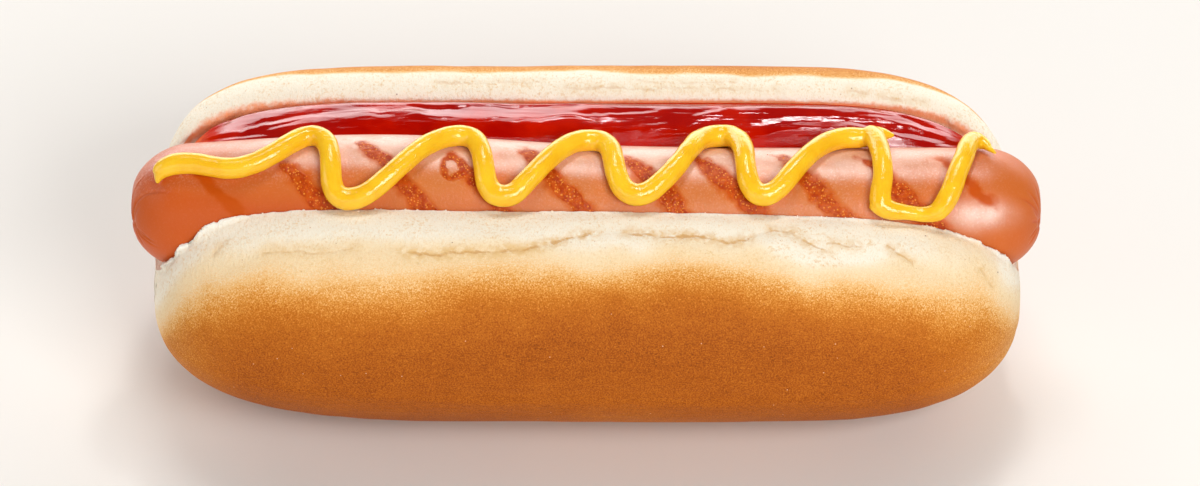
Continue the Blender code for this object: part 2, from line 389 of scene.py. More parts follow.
class Shader:
    """The tree of one material, with its surface shader."""

    MIX_A, MIX_B, MIX_RESULT = 6, 7, 2

    def __init__(self, name: str) -> None:
        """Makes an empty material with a Principled shader."""
        self.material = bpy.data.materials.new(name)
        self.material.use_nodes = True
        self.tree = self.material.node_tree
        self.surface = self.tree.nodes["Principled BSDF"]
        self.place = self.add("ShaderNodeTexCoord").outputs["Object"]

    def add(self, kind: str, settings: dict | None = None, inputs: dict | None = None) -> bpy.types.Node:
        """Adds a node.

        Args:
            kind: the node's type.
            settings: its settings, set first; "stops" are a colour ramp's (place, colour) pairs.
            inputs: values or sockets, by input name or number.

        Returns:
            The node.
        """
        node = self.tree.nodes.new(kind)
        for name, setting in (settings or {}).items():
            if name == "stops":
                elements = node.color_ramp.elements
                while len(elements) < len(setting):
                    elements.new(1.0)
                for element, (place, colour) in zip(elements, setting):
                    element.position = place
                    element.color = (*colour, 1.0)
            else:
                setattr(node, name, setting)
        for key, value in (inputs or {}).items():
            value = value.socket if isinstance(value, Value) else value
            if isinstance(value, bpy.types.NodeSocket):
                self.tree.links.new(value, node.inputs[key])
            else:
                node.inputs[key].default_value = (*value, 1.0) if isinstance(value, tuple) else value
        return node

    def attribute(self, name: str) -> Value:
        """A number stored on the mesh's points."""
        return Value(self, self.add("ShaderNodeAttribute", {"attribute_name": name}).outputs["Fac"])

    def stretched(self, stretch: Colour) -> bpy.types.NodeSocket:
        """The place on the object, with its axes made longer or shorter.

        Args:
            stretch: how many times longer a pattern gets along each axis.

        Returns:
            The stretched place.
        """
        node = self.add("ShaderNodeMapping")
        node.inputs["Scale"].default_value = tuple(1 / share for share in stretch)
        self.tree.links.new(self.place, node.inputs["Vector"])
        return node.outputs["Vector"]

    def noise(self, size: float, detail: float = 2.0, stretch: Colour = (1.0, 1.0, 1.0)) -> Value:
        """Noise between 0 and 1.

        Args:
            size: how large one lump is.
            detail: how many finer layers it has.
            stretch: how many times longer a lump is along each axis.

        Returns:
            The noise.
        """
        place = self.place if stretch == (1.0, 1.0, 1.0) else self.stretched(stretch)
        node = self.add("ShaderNodeTexNoise", None, {"Vector": place, "Scale": 1 / size, "Detail": detail})
        return Value(self, node.outputs["Fac"])

    def dots(self, spacing: float, radius: float, share: float, soft: float = 0.5) -> Value:
        """Scattered round dots, 1 inside and 0 outside.

        Args:
            spacing: how far apart the places are where a dot may be.
            radius: how large a dot is.
            share: how many of the places hold one, from 0 to 1.
            soft: how much of the radius its edge takes.

        Returns:
            The dots.
        """
        node = self.add("ShaderNodeTexVoronoi", None, {"Vector": self.place, "Scale": 1 / spacing})
        reach = radius / spacing
        inside = Value(self, node.outputs["Distance"]).step(reach, reach * (1 - soft))
        chosen = self.add("ShaderNodeSeparateColor", None, {0: node.outputs["Color"]})
        return inside * Value(self, chosen.outputs[0]).step(share, share - 0.02)

    def cells(self, size: float) -> Value:
        """How far each place is from the middle of its round cell, in cells."""
        node = self.add("ShaderNodeTexVoronoi", None, {"Vector": self.place, "Scale": 1 / size})
        return Value(self, node.outputs["Distance"])

    def ramp(self, value: Value, stops: tuple) -> bpy.types.NodeSocket:
        """A colour that runs through stops as a value goes from 0 to 1."""
        return self.add("ShaderNodeValToRGB", {"stops": stops}, {0: value}).outputs["Color"]

    def mix(self, share: Value | float, first: object, second: object) -> bpy.types.NodeSocket:
        """One colour turning into another.

        Args:
            share: 0 gives the first colour and 1 the second.
            first: a colour or a socket.
            second: a colour or a socket.

        Returns:
            The mixed colour.
        """
        inputs = {0: share, self.MIX_A: first, self.MIX_B: second}
        return self.add("ShaderNodeMix", {"data_type": "RGBA"}, inputs).outputs[self.MIX_RESULT]

    def bump(self, height: Value, depth: float, under: bpy.types.NodeSocket | None = None) -> object:
        """Turns a height between 0 and 1 into a normal.

        Args:
            height: the height.
            depth: how high 1 stands.
            under: the normal of a coarser bump that this one lies on.

        Returns:
            The normal.
        """
        node = self.add("ShaderNodeBump", None, {"Height": height, "Distance": depth, "Strength": 1.0})
        if under is not None:
            self.tree.links.new(under, node.inputs["Normal"])
        return node.outputs["Normal"]

    def finish(self, fixed: dict[str, object], varying: dict[str, object],
               surface: bpy.types.Node | None = None) -> bpy.types.Material:
        """Sets a surface shader.

        Args:
            fixed: inputs that are the same all over, by name.
            varying: inputs that change over the surface, by name.
            surface: the shader, or none for the material's first one.

        Returns:
            The material.
        """
        surface = surface or self.surface
        for name, value in fixed.items():
            surface.inputs[name].default_value = value
        for name, value in varying.items():
            socket = value.socket if isinstance(value, Value) else value
            self.tree.links.new(socket, surface.inputs[name])
        return self.material

    def overlay(self, share: Value, fixed: dict[str, object], varying: dict[str, object]) -> bpy.types.Material:
        """Lays a second surface shader over the first.

        Args:
            share: how much of it shows, from 0 to 1.
            fixed: its inputs that are the same all over, by name.
            varying: its inputs that change over the surface, by name.

        Returns:
            The material.
        """
        second = self.add("ShaderNodeBsdfPrincipled")
        both = self.add("ShaderNodeMixShader", None, {0: share, 1: self.surface.outputs[0], 2: second.outputs[0]})
        self.tree.links.new(both.outputs[0], self.tree.nodes["Material Output"].inputs["Surface"])
        return self.finish(fixed, varying, second)


def shade(red: int, green: int, blue: int) -> Colour:
    """A colour as it shows on a screen, in steps of 255, turned into light."""
    shares = (red / 255, green / 255, blue / 255)
    red, green, blue = (c / 12.92 if c <= 0.04045 else ((c + 0.055) / 1.055) ** 2.4 for c in shares)
    return red, green, blue


# ---------------------------------------------------------------------------------------------------------
# Finishes


@dataclass(frozen=True)
class BreadFinish:
    """Soft white bread that browns to a fine-grained crust, with ketchup soaked into its lip, painted shade along its
    creases and a pale rim at its lips that is partly a painted highlight.
    """

    browning: tuple = (
        (0.00, shade(250, 240, 220)),
        (0.11, shade(246, 220, 178)),
        (0.24, shade(240, 189, 122)),
        (0.38, shade(222, 150, 64)),
        (0.56, shade(198, 114, 28)),
        (0.80, shade(172, 87, 13)),
        (1.00, shade(134, 62, 6)),
    )
    # Whiter bread along the cut lips, partly real crumb and partly a painted highlight.
    rim: Colour = shade(254, 250, 240)
    tan: Colour = shade(232, 194, 136)
    # Painted shade along the creases: a thin darker line in each and a broad tan shade beside it.
    crease: Colour = shade(212, 158, 92)
    shadow: Colour = shade(226, 182, 116)
    ketchup_stain: Colour = shade(246, 160, 112)
    pale_speck: Colour = shade(252, 226, 184)
    brown_speck: Colour = shade(192, 128, 66)
    dark_speck: Colour = shade(126, 62, 20)
    roughness: float = 0.62

    def make(self) -> bpy.types.Material:
        """The material."""
        s = Shader("bread")
        brown = s.attribute("browning")
        grain = s.noise(0.00025, 3.0)
        ripple = s.noise(0.0013, 3.0, (2.5, 1.0, 1.0))
        cloud = s.noise(0.009, 3.0)
        crusty = brown.step(0.10, 0.45)
        creamy = 1 - crusty
        level = brown + (grain - 0.5) * (crusty * 0.70 + brown * 0.55 + 0.10) + (ripple - 0.5) * crusty * 0.16
        colour = s.ramp((level + (cloud - 0.5) * crusty * 0.14) * 0.8, self.browning)
        mottle = s.noise(0.0006, 3.0).step(0.50, 0.70) * s.noise(0.006, 2.0).step(0.36, 0.62)
        fibres = s.noise(0.00022, 2.0, (1.0, 2.4, 2.4)).step(0.52, 0.74)
        colour = s.mix((mottle * 0.55 + fibres * 0.45) * creamy, colour, self.tan)
        colour = s.mix(s.dots(0.0015, 0.00015, 0.45) * creamy * 0.6, colour, self.brown_speck)
        colour = s.mix(s.dots(0.0040, 0.00018, 0.5) * 0.75, colour, self.dark_speck)
        colour = s.mix(s.dots(0.0022, 0.00013, 0.35) * crusty * 0.7, colour, self.pale_speck)
        # Painted shade by the creases: a broad tan shade beside each and a thin darker line along it.
        shadow = s.attribute("shadow")
        away = 1 - s.attribute("crease") + (grain - 0.5) * 0.12 + (ripple - 0.5) * 0.10
        painted_crease_shade = away.step(0.95, 0.05) * s.noise(0.0014, 3.0).step(0.30, 0.62)
        colour = s.mix(painted_crease_shade * shadow * 0.75, colour, self.shadow)
        thin = away.step(0.15, 0.04) * s.noise(0.0030, 2.0).step(0.32, 0.55)
        colour = s.mix(thin * shadow * 0.8, colour, self.crease)
        soaked = s.attribute("stain") + (s.noise(0.0012, 3.0) - 0.5) * s.attribute("stain").step(0, 0.2)
        colour = s.mix(soaked.step(0.12, 0.95), colour, self.ketchup_stain)
        # The lips are painted whiter: partly the paler crumb, partly a painted highlight along the rim.
        colour = s.mix(s.attribute("rim") * (1 - soaked.step(0.0, 0.3)) * 0.9, colour, self.rim)
        crumb = s.attribute("crumb")
        pores = s.cells(0.0011).step(0.75, 0.1)
        fluff = s.noise(0.0009, 3.0, (0.7, 1.6, 1.6))
        coarse = s.bump(ripple * crusty + fluff * creamy + pores * crumb, 0.00022)
        normal = s.bump(grain - thin * shadow * 0.4, 0.00014, coarse)
        return s.finish(
            {"Roughness": self.roughness, "Specular IOR Level": 0.14},
            {"Base Color": colour, "Normal": normal},
        )


@dataclass(frozen=True)
class CrumbFinish:
    """Loose bits of white bread."""

    colour: Colour = shade(250, 240, 222)
    toasted: Colour = shade(234, 192, 132)

    def make(self) -> bpy.types.Material:
        """The material."""
        s = Shader("bread_crumbs")
        colour = s.mix(s.noise(0.004, 2.0).step(0.45, 0.75) * 0.6, self.colour, self.toasted)
        normal = s.bump(s.noise(0.0003, 2.0), 0.00008)
        return s.finish(
            {"Roughness": 0.8, "Specular IOR Level": 0.25}, {"Base Color": colour, "Normal": normal}
        )


@dataclass(frozen=True)
class SkinFinish:
    """A smooth, moist sausage skin, burnt and blistered where the grill touched it, with a painted pale sheen along
    its top, a painted highlight near the right tip and painted shade underneath and in its gathers.
    """

    tan: Colour = shade(208, 118, 54)
    # A darker, warmer orange, used partly as painted shade.
    warm_and_shaded: Colour = shade(200, 88, 28)
    scorched: Colour = shade(194, 78, 0)
    burnt: Colour = shade(166, 50, 0)
    caramel: Colour = shade(240, 156, 60)
    fleck: Colour = shade(196, 72, 16)
    # A pale, pinkish colour painted along the top and at the right tip as a sheen and highlight.
    painted_sheen_colour: Colour = shade(246, 214, 198)

    def make(self) -> bpy.types.Material:
        """The material."""
        s = Shader("sausage_skin")
        cloud = s.noise(0.012, 3.0)
        # Darker, warmer orange at the tips, low on the front and in the gathers: painted shade in the gathers and low
        # on the front, and partly painted shade at the tips.
        colour = s.mix(s.attribute("warmth") + (cloud - 0.5) * 0.5, self.tan, self.warm_and_shaded)
        colour = s.mix(s.dots(0.0048, 0.00022, 0.55) * 0.5, colour, self.fleck)
        burn = s.attribute("burn") + (s.noise(0.0015, 3.0) - 0.5) * s.attribute("burn").step(0.0, 0.3) * 0.4
        # Painted sheen: a pale colour along the top of the sausage, grainy where the fat film is, and a painted
        # highlight in the patch near the right tip.
        bloom = s.attribute("bloom") * (0.33 + s.noise(0.0045, 3.0).step(0.3, 0.6) * 0.24)
        bloom = bloom + s.attribute("film") * (s.noise(0.0004, 2.0).step(0.52, 0.68) * 0.16)
        colour = s.mix(bloom, colour, self.painted_sheen_colour)
        colour = s.mix(burn.step(0.12, 0.80) * 0.95, colour, self.scorched)
        rough = (s.attribute("blister") + (s.noise(0.0013, 3.0) - 0.5) * 0.5).step(0.3, 0.7)
        froth = s.noise(0.00055, 3.0)
        beads = s.cells(0.00055)
        colour = s.mix(rough * s.noise(0.0012, 3.0).step(0.40, 0.62) * 0.8, colour, self.burnt)
        colour = s.mix(rough * beads.step(0.42, 0.12) * froth.step(0.35, 0.55) * 0.8, colour, self.caramel)
        fine = s.noise(0.0005, 2.0, (1.0, 2.2, 2.2))
        pebbles = s.noise(0.00026, 2.0)
        coarse = s.bump(fine * 0.6 + pebbles * 0.4, 0.00006)
        normal = s.bump((froth * 0.5 + beads * 0.6) * rough, 0.00010, coarse)
        roughness = 0.38 + (fine - 0.5) * 0.16
        flesh = {
            "Subsurface Weight": 0.12,
            "Subsurface Radius": (0.0024, 0.0009, 0.0004),
            "Subsurface Scale": 1.0,
        }
        s.finish(
            flesh | {"Specular IOR Level": 1.0},
            {"Base Color": colour, "Normal": normal, "Roughness": roughness},
        )
        wet = s.attribute("film") * (0.55 + pebbles.step(0.35, 0.65) * 0.45)
        dry = 1 - wet * (1 - burn.step(0.05, 0.4) * 0.95)
        return s.overlay(
            dry,
            flesh | {"Specular IOR Level": 0.14, "Roughness": 0.4},
            {"Base Color": colour, "Normal": normal},
        )


@dataclass(frozen=True)
class BlisterFinish:
    """Glossy caramelised bubbles in the grill marks."""

    dark: Colour = shade(196, 74, 0)
    light: Colour = shade(236, 138, 40)

    def make(self) -> bpy.types.Material:
        """The material."""
        s = Shader("grill_blisters")
        colour = s.mix(s.noise(0.0011, 2.0).step(0.38, 0.62), self.dark, self.light)
        normal = s.bump(s.noise(0.0003, 2.0), 0.00005)
        return s.finish(
            {"Roughness": 0.16, "Specular IOR Level": 0.6}, {"Base Color": colour, "Normal": normal}
        )


@dataclass(frozen=True)
class KetchupFinish:
    """Glossy tomato ketchup, lighter and more orange where it thins out."""

    deep: Colour = shade(160, 6, 0)
    bright: Colour = shade(190, 22, 0)
    thin: Colour = shade(198, 36, 4)
    soaked: Colour = shade(230, 112, 58)

    def make(self) -> bpy.types.Material:
        """The material."""
        s = Shader("tomato_ketchup")
        colour = s.mix(s.noise(0.009, 3.0).step(0.35, 0.7), self.deep, self.bright)
        edge = s.attribute("thin") + (s.noise(0.0012, 3.0) - 0.5) * 0.35
        colour = s.mix(edge.step(0.15, 0.75), colour, self.thin)
        colour = s.mix(edge.step(0.70, 1.15), colour, self.soaked)
        streaks = s.noise(0.0010, 3.0, (4.0, 1.0, 1.0))
        coarse = s.bump(streaks, 0.00007)
        bristle = s.noise(0.00028, 2.0, (1.0, 1.6, 1.0))
        normal = s.bump(bristle, 0.000012, coarse)
        s.finish(
            {"Specular IOR Level": 0.48},
            {"Base Color": colour, "Normal": normal, "Roughness": 0.08 + edge.step(0.2, 0.9) * 0.15},
        )
        return s.overlay(
            1 - (1 - edge.step(0.10, 0.60) * 0.9) * (1 - s.attribute("dull") * 0.94),
            {"Specular IOR Level": 0.0, "Roughness": 0.6},
            {"Base Color": colour, "Normal": normal},
        )


@dataclass(frozen=True)
class MustardFinish:
    """Smooth yellow mustard with a grainy shine and a few ground seeds."""

    yellow: Colour = shade(250, 198, 40)
    deep: Colour = shade(244, 184, 28)
    seed: Colour = shade(206, 142, 16)

    def make(self) -> bpy.types.Material:
        """The material."""
        s = Shader("yellow_mustard")
        colour = s.mix(s.noise(0.004, 3.0).step(0.35, 0.7), self.yellow, self.deep)
        colour = s.mix(s.dots(0.0012, 0.00010, 0.3) * 0.5, colour, self.seed)
        coarse = s.bump(s.noise(0.0011, 2.0), 0.00002)
        normal = s.bump(s.noise(0.00046, 1.0), 0.00007, coarse)
        return s.finish(
            {
                "Roughness": 0.12,
                "Specular IOR Level": 0.5,
                "Subsurface Weight": 0.15,
                "Subsurface Radius": (0.0020, 0.0014, 0.0003),
                "Subsurface Scale": 1.0,
            },
            {"Base Color": colour, "Normal": normal},
        )


@dataclass(frozen=True)
class FloorFinish:
    """A matt, pale floor."""

    colour: Colour = shade(236, 232, 226)

    def make(self) -> bpy.types.Material:
        """The material."""
        s = Shader("pale_floor")
        colour = s.mix(s.noise(0.05, 2.0) * 0.06, self.colour, shade(222, 218, 212))
        return s.finish({"Roughness": 0.9, "Specular IOR Level": 0.1}, {"Base Color": colour})


# ---------------------------------------------------------------------------------------------------------
# The bun


@dataclass(frozen=True)
class Axis:
    """The sausage's axis: level, with a low hump left of the middle."""

    height: float = 0.0395
    hump_rise: float = 0.0030
    hump_place: float = -0.038
    hump_spread: float = 0.033
    end_drop: float = 0.0015

    def height_at(self, x: np.ndarray | float) -> np.ndarray:
        """How high the axis is at X."""
        return self.height - self.end_drop + self.hump_rise * bell(x - self.hump_place, self.hump_spread)


@dataclass(frozen=True)
class Wrinkle:
    """A crease pressed into the bread, or a ridge where its depth is negative.

    Attributes:
        line: (X, distance from the lip) of its points.
        depth: how deep it is at its middle.
        width: how wide it is.
        shadow: how much darker it is inside, from 0 to 1.
    """

    line: tuple
    depth: float
    width: float
    shadow: float


@dataclass
class Bun:
    """The bun: a loaf with rounded ends, hinged underneath and cut open along its top."""

    axis: Axis
    cradle: float = 0.01155
    half_length: float = 0.0790
    front_lip_foot: tuple = (-0.0070, 0.0030)
    front_top: tuple = (-0.0140, 0.0066)
    front_side: tuple = (-0.0350, -0.0165)
    under_front: tuple = (-0.0050, -0.0404)
    under_back: tuple = (0.0050, -0.0404)
    back_side: tuple = (0.0370, -0.0110)
    back_top: tuple = (0.0248, 0.0096)
    back_lip: tuple = (0.0203, 0.0073)
    front_shoulder: float = 2.1
    front_haunch: float = 1.52
    back_haunch: float = 2.05
    back_shoulder: float = 2.2
    lip_round: float = 2.0
    front_droop: float = 0.025
    droop_reach: float = 0.01125
    end_heart: tuple = (-0.0050, -0.0203)
    end_directions: tuple = (0.0, 65.0, 112.0, 170.0, 290.0)
    right_end: tuple = ((6.0, 3.8), (6.0, 3.8), (6.0, 3.8), (5.0, 2.1), (5.0, 2.1))
    left_end: tuple = ((6.2, 4.6), (6.2, 4.6), (6.4, 2.0), (4.7, 2.1), (4.7, 2.1))
    flare_start: float = -20.0
    flare_bend: float = 1.4

    depth_limits: tuple = (-0.0348, 0.0368)
    outline_samples: int = 1800
    stations: int = 362
    outside_points: int = 236
    inside_points: int = 36
    skin_spacing: tuple = ((0.0, 0.0), (0.30, 0.115), (0.50, 0.30), (0.78, 0.86), (1.0, 1.0))

    broad_lumps: float = 0.00018
    small_lumps: float = 0.00006
    fold_dip: float = 0.00030
    fold_dip_width: float = 0.0026
    torn_edge: float = 0.00008
    torn_left: float = 0.00085
    torn_right: float = 0.00030
    lip_ridge: float = 0.00020
    lip_ridge_width: float = 0.0007
    torn_reach: float = 0.0011
    pale_edge: tuple = (
        (-0.0790, 0.0235), (-0.0774, 0.0275), (-0.0750, 0.0335), (-0.0720, 0.0378), (-0.0680, 0.0417),
        (-0.0570, 0.0455), (-0.0410, 0.0465), (-0.0150, 0.0468), (0.0030, 0.0457), (0.0350, 0.0452),
        (0.0460, 0.0444), (0.0640, 0.0438), (0.0700, 0.0416), (0.0732, 0.0385), (0.0760, 0.0338),
        (0.0790, 0.0280),
    )
    pale_strip: tuple = (0.0066, 0.0105)
    browning_stretch: tuple = (
        (-0.0790, 2.00), (-0.0570, 1.50), (-0.0300, 1.30), (-0.0150, 1.10), (0.0030, 0.80), (0.0200, 0.88),
        (0.0460, 1.05), (0.0570, 1.40), (0.0650, 2.10), (0.0790, 2.00),
    )
    browning_limit: tuple = (
        (-0.0790, 0.60), (-0.0720, 0.68), (-0.0610, 1.00), (0.0580, 1.00), (0.0700, 0.68), (0.0770, 0.48),
        (0.0790, 0.45),
    )
    # Browning by depth below the pale edge; it eases off again near the bottom, partly a paler bottom edge and partly
    # painted bounce light from the floor.
    browning_depth: tuple = (
        (0.0, 0.0), (0.0007, 0.10), (0.0020, 0.20), (0.0038, 0.45), (0.0061, 0.75), (0.0080, 0.88),
        (0.0120, 1.0), (0.0300, 0.98), (0.0420, 0.80),
    )
    back_pale: tuple = (
        (-0.079, 0.0090), (-0.050, 0.0072), (0.000, 0.0068), (0.015, 0.0058), (0.024, 0.0054),
        (0.048, 0.0051), (0.058, 0.0062), (0.079, 0.0080),
    )
    stain_width: tuple = (
        (-0.074, 0.0), (-0.071, 0.0030), (-0.060, 0.0026), (-0.050, 0.0016), (-0.030, 0.0008),
        (0.045, 0.0007), (0.060, 0.0016), (0.070, 0.0024), (0.075, 0.0),
    )
    wrinkles: tuple = (
        Wrinkle(((-0.0675, 0.0058), (-0.0660, 0.0062), (-0.0640, 0.0040)), 0.00030, 0.0004, 0.55),
        Wrinkle(((-0.0600, 0.0092), (-0.0520, 0.0104), (-0.0450, 0.0112), (-0.0390, 0.0090)), 0.00012, 0.0005,
                0.40),
        Wrinkle(((-0.0360, 0.0100), (-0.0300, 0.0115), (-0.0230, 0.0112), (-0.0162, 0.0112), (-0.0099, 0.0099),
                 (-0.0044, 0.0086), (-0.0010, 0.0070), (0.0043, 0.0058)), 0.00018, 0.00042, 1.0),
        Wrinkle(((0.0043, 0.0058), (0.0084, 0.0063), (0.0141, 0.0073), (0.0195, 0.0067), (0.0246, 0.0082),
                 (0.0282, 0.0076), (0.0310, 0.0054)), 0.00018, 0.00050, 0.95),
        Wrinkle(((0.0310, 0.0054), (0.0337, 0.0048), (0.0366, 0.0050), (0.0397, 0.0077), (0.0451, 0.0103)),
                0.00016, 0.0005, 0.70),
        Wrinkle(((0.0420, 0.0072), (0.0498, 0.0080)), 0.00014, 0.0004, 0.60),
        Wrinkle(((0.0529, 0.0066), (0.0562, 0.0087), (0.0589, 0.0102)), 0.00016, 0.0005, 0.70),
        Wrinkle(((0.0700, 0.0062), (0.0730, 0.0085)), 0.00018, 0.0005, 0.40),
    )
    crease_depth: float = 0.6
    closed_margin: float = 0.0006
    crease_reach: float = 0.0025
    back_wrinkles: tuple = (
        Wrinkle(((-0.0520, 0.0014), (-0.0430, 0.0011), (-0.0330, 0.0014)), -0.00025, 0.0005, 0.0),
        Wrinkle(((-0.0080, 0.0030), (0.0060, 0.0024), (0.0240, 0.0028), (0.0400, 0.0024)), 0.00018, 0.0005, 0.35),
        Wrinkle(((0.0060, 0.0044), (0.0180, 0.0040), (0.0300, 0.0044)), 0.00015, 0.0005, 0.30),
        Wrinkle(((0.0460, 0.0026), (0.0560, 0.0022), (0.0640, 0.0030)), 0.00016, 0.0005, 0.35),
        Wrinkle(((-0.0300, 0.0042), (-0.0180, 0.0038), (-0.0060, 0.0046)), 0.00012, 0.0005, 0.30),
    )

    def _quarter(self, level: tuple, upright: tuple, squareness: float) -> np.ndarray:
        """A quarter of a superellipse.

        Args:
            level: the point where it runs level.
            upright: the point where it runs upright.
            squareness: 2 for an ellipse, and more for a squarer corner.

        Returns:
            Its points, from the level end.
        """
        turn = np.linspace(0, math.pi / 2, 48)
        across = np.sin(turn) ** (2 / squareness)
        up = np.cos(turn) ** (2 / squareness)
        return np.stack(
            [level[0] + (upright[0] - level[0]) * across, upright[1] + (level[1] - upright[1]) * up], axis=1
        )

    def _outline(self) -> np.ndarray:
        """The outline at mid-length, from inside the cut at the front round to the back lip."""
        return np.concatenate([
            self._quarter(self.front_top, self.front_lip_foot, self.lip_round)[::-1],
            self._quarter(self.front_top, self.front_side, self.front_shoulder)[1:],
            self._quarter(self.under_front, self.front_side, self.front_haunch)[::-1][1:],
            self._quarter(self.under_back, self.back_side, self.back_haunch),
            self._quarter(self.back_top, self.back_side, self.back_shoulder)[::-1][1:],
            self._quarter(self.back_top, self.back_lip, self.lip_round)[1:],
        ])

    def _outline_at(self, x: float) -> np.ndarray:
        """The outline at X, closed in towards the ends, before the cut is made."""
        outward = self._outline() - self.end_heart
        falls, bluntnesses = zip(*(self.right_end if x > 0 else self.left_end))
        direction = np.degrees(np.arctan2(outward[:, 1], outward[:, 0]))
        fall = np.interp(direction, self.end_directions, falls, period=360)
        bluntness = np.interp(direction, self.end_directions, bluntnesses, period=360)
        scale = (1 - min(abs(x) / self.half_length, 1.0) ** fall) ** (1 / bluntness)
        line = self.end_heart + outward * scale[:, None]
        front_top = np.clip(-line[:, 0] / self.droop_reach, 0, 1) * np.clip(1 + line[:, 1] / self.axis.height, 0, 1)
        line[:, 1] -= self.axis.height_at(x) - self.axis.height + self.front_droop * x * front_top
        return line

    def wall_radius(self, degrees: np.ndarray | float, lip: tuple) -> np.ndarray:
        """How far the wall of the cut is from the sausage's axis, where the back lip is at (angle, distance)."""
        rise = np.clip((degrees - self.flare_start) / (lip[0] - self.flare_start), 0, 1)
        return self.cradle + (lip[1] - self.cradle) * rise**self.flare_bend

    def _crossing(self, inner: np.ndarray, outer: np.ndarray) -> np.ndarray:
        """Where the outline crosses the wall of the cut, between a point within it and one past it."""
        within, past = polar(inner)[1], polar(outer)[1]
        return inner + (outer - inner) * (self.cradle - within) / max(past - within, 1e-12)

    def skin_at(self, x: float) -> np.ndarray:
        """The part of the outline at X that the cut leaves, from the front lip round to the back lip.

        Args:
            x: the place along the bun.

        Returns:
            Its points. Past the ends of the cut they are the whole outline, starting nearest the sausage.
        """
        line = self._outline_at(x)
        lip = polar(line[-1])
        open_lip = lip[1] > self.cradle and lip[0] > self.flare_start
        if not open_lip:
            line = np.concatenate([line, line[:1]])
        line = along_line(line, np.linspace(0, line_length(line), self.outline_samples))
        in_cut = polar(line)[1] < self.cradle
        if open_lip:
            last = np.flatnonzero(in_cut)[-1]
            return np.concatenate([[self._crossing(line[last], line[last + 1])], line[last + 1 :]])
        if not in_cut.any():
            line = line[:-1]
            line = np.roll(line, len(line) // 2 - np.argmin(polar(line)[1]), axis=0)
            away = polar(line)[1]
            nearest = round(np.flatnonzero(away < away.min() + self.closed_margin).mean())
            return np.concatenate([line[nearest:], line[: nearest + 1]])
        start = np.flatnonzero(in_cut)[0]
        line = np.concatenate([line[start:-1], line[:start]])
        within = np.flatnonzero(np.concatenate([polar(line)[1] < self.cradle, [True]]))
        widest = np.argmax(np.diff(within))
        first, last = within[widest] + 1, within[widest + 1] - 1
        before = self._crossing(line[first - 1], line[first])
        after = self._crossing(line[(last + 1) % len(line)], line[last])
        return np.concatenate([[before], line[first : last + 1], [after]])

    def _stations(self) -> np.ndarray:
        """Places along the bun, as far apart along the flanks as over the rounded ends."""
        fall, bluntness = self.right_end[0]
        turn = np.linspace(0, math.pi / 2, 4000)
        half = np.stack([
            self.half_length * np.sin(turn) ** (2 / fall),
            0.5 * (self.back_side[0] - self.front_side[0]) * np.cos(turn) ** (2 / bluntness),
        ], axis=1)
        places = along_line(half, np.linspace(0, 0.9985 * line_length(half), self.stations // 2))[:, 0]
        return np.concatenate([-places[::-1], places[1:]])

    def _ring(self, x: float) -> tuple[np.ndarray, np.ndarray, np.ndarray, tuple]:
        """The section at X: its skin from lip to lip, then the wall of the cut back to the front.

        Args:
            x: the place along the bun.

        Returns:
            The points, how far each is from the front lip and from the back lip, and whether it is in the cut.
        """
        skin = self.skin_at(x)
        length = line_length(skin)
        is_whole = np.allclose(skin[0], skin[-1])
        margin = self.closed_margin if is_whole else 0.0
        share = np.interp(np.linspace(0, 1, self.outside_points), *zip(*self.skin_spacing))
        distances = margin + (length - 2 * margin) * share
        outside = along_line(skin, distances)
        front_lip, back_lip = polar(skin[0]), polar(skin[-1])
        degrees = np.linspace(back_lip[0], front_lip[0], self.inside_points + 2)[1:-1]
        inside = round_sausage(self.wall_radius(degrees, back_lip), degrees)
        if is_whole:
            across = margin * np.linspace(-1, 1, self.inside_points + 2)[1:-1]
            inside = along_line(np.concatenate([skin, skin[1:]]), length + across)
        ring = np.concatenate([outside, inside])
        wall = np.concatenate([outside[-1:], inside, outside[:1]])
        in_wall = np.concatenate([[0], np.cumsum(np.hypot(*np.diff(wall, axis=0).T))])
        from_back = np.concatenate([length - distances, in_wall[1:-1]])
        from_front = np.concatenate([distances, in_wall[-1] - in_wall[1:-1]])
        height = np.maximum(ring[:, 1] + self.axis.height_at(x), 0)
        return np.stack([np.full(len(ring), x), ring[:, 0], height], axis=1), from_front, from_back

    def _browning(self, points: np.ndarray, from_front: np.ndarray, from_back: np.ndarray) -> np.ndarray:
        """How brown the crust is at each point, from 0 to 1.

        Args:
            points: the bun's points.
            from_front: how far each is from the front lip.
            from_back: how far each is from the back lip.

        Returns:
            The browning: by height at the front, and by distance from the lip at the back.
        """
        x = points[..., 0]
        wander = 0.0012 * Unevenness((0.020, 0.020, 0.020), 5).at(points)
        wander += 0.0006 * Unevenness((0.005, 0.005, 0.005), 6).at(points)
        below = np.interp(x, *zip(*self.pale_edge)) + wander - points[..., 2]
        below = below / np.interp(x, *zip(*self.browning_stretch))
        front = np.minimum(np.interp(below, *zip(*self.browning_depth)), np.interp(x, *zip(*self.browning_limit)))
        strip = 1 - ease(np.abs(x), 0.052, 0.070)
        front *= 1 - strip * (1 - ease(from_front + wander, *self.pale_strip))
        past = from_back - np.interp(x, *zip(*self.back_pale)) + wander
        back = np.interp(past, (0.0, 0.0008, 0.0050, 0.0150), (0.0, 0.42, 0.68, 1.0))
        at_back = ease(points[..., 1], 0.0, 0.010)
        return front * (1 - at_back) + back * at_back

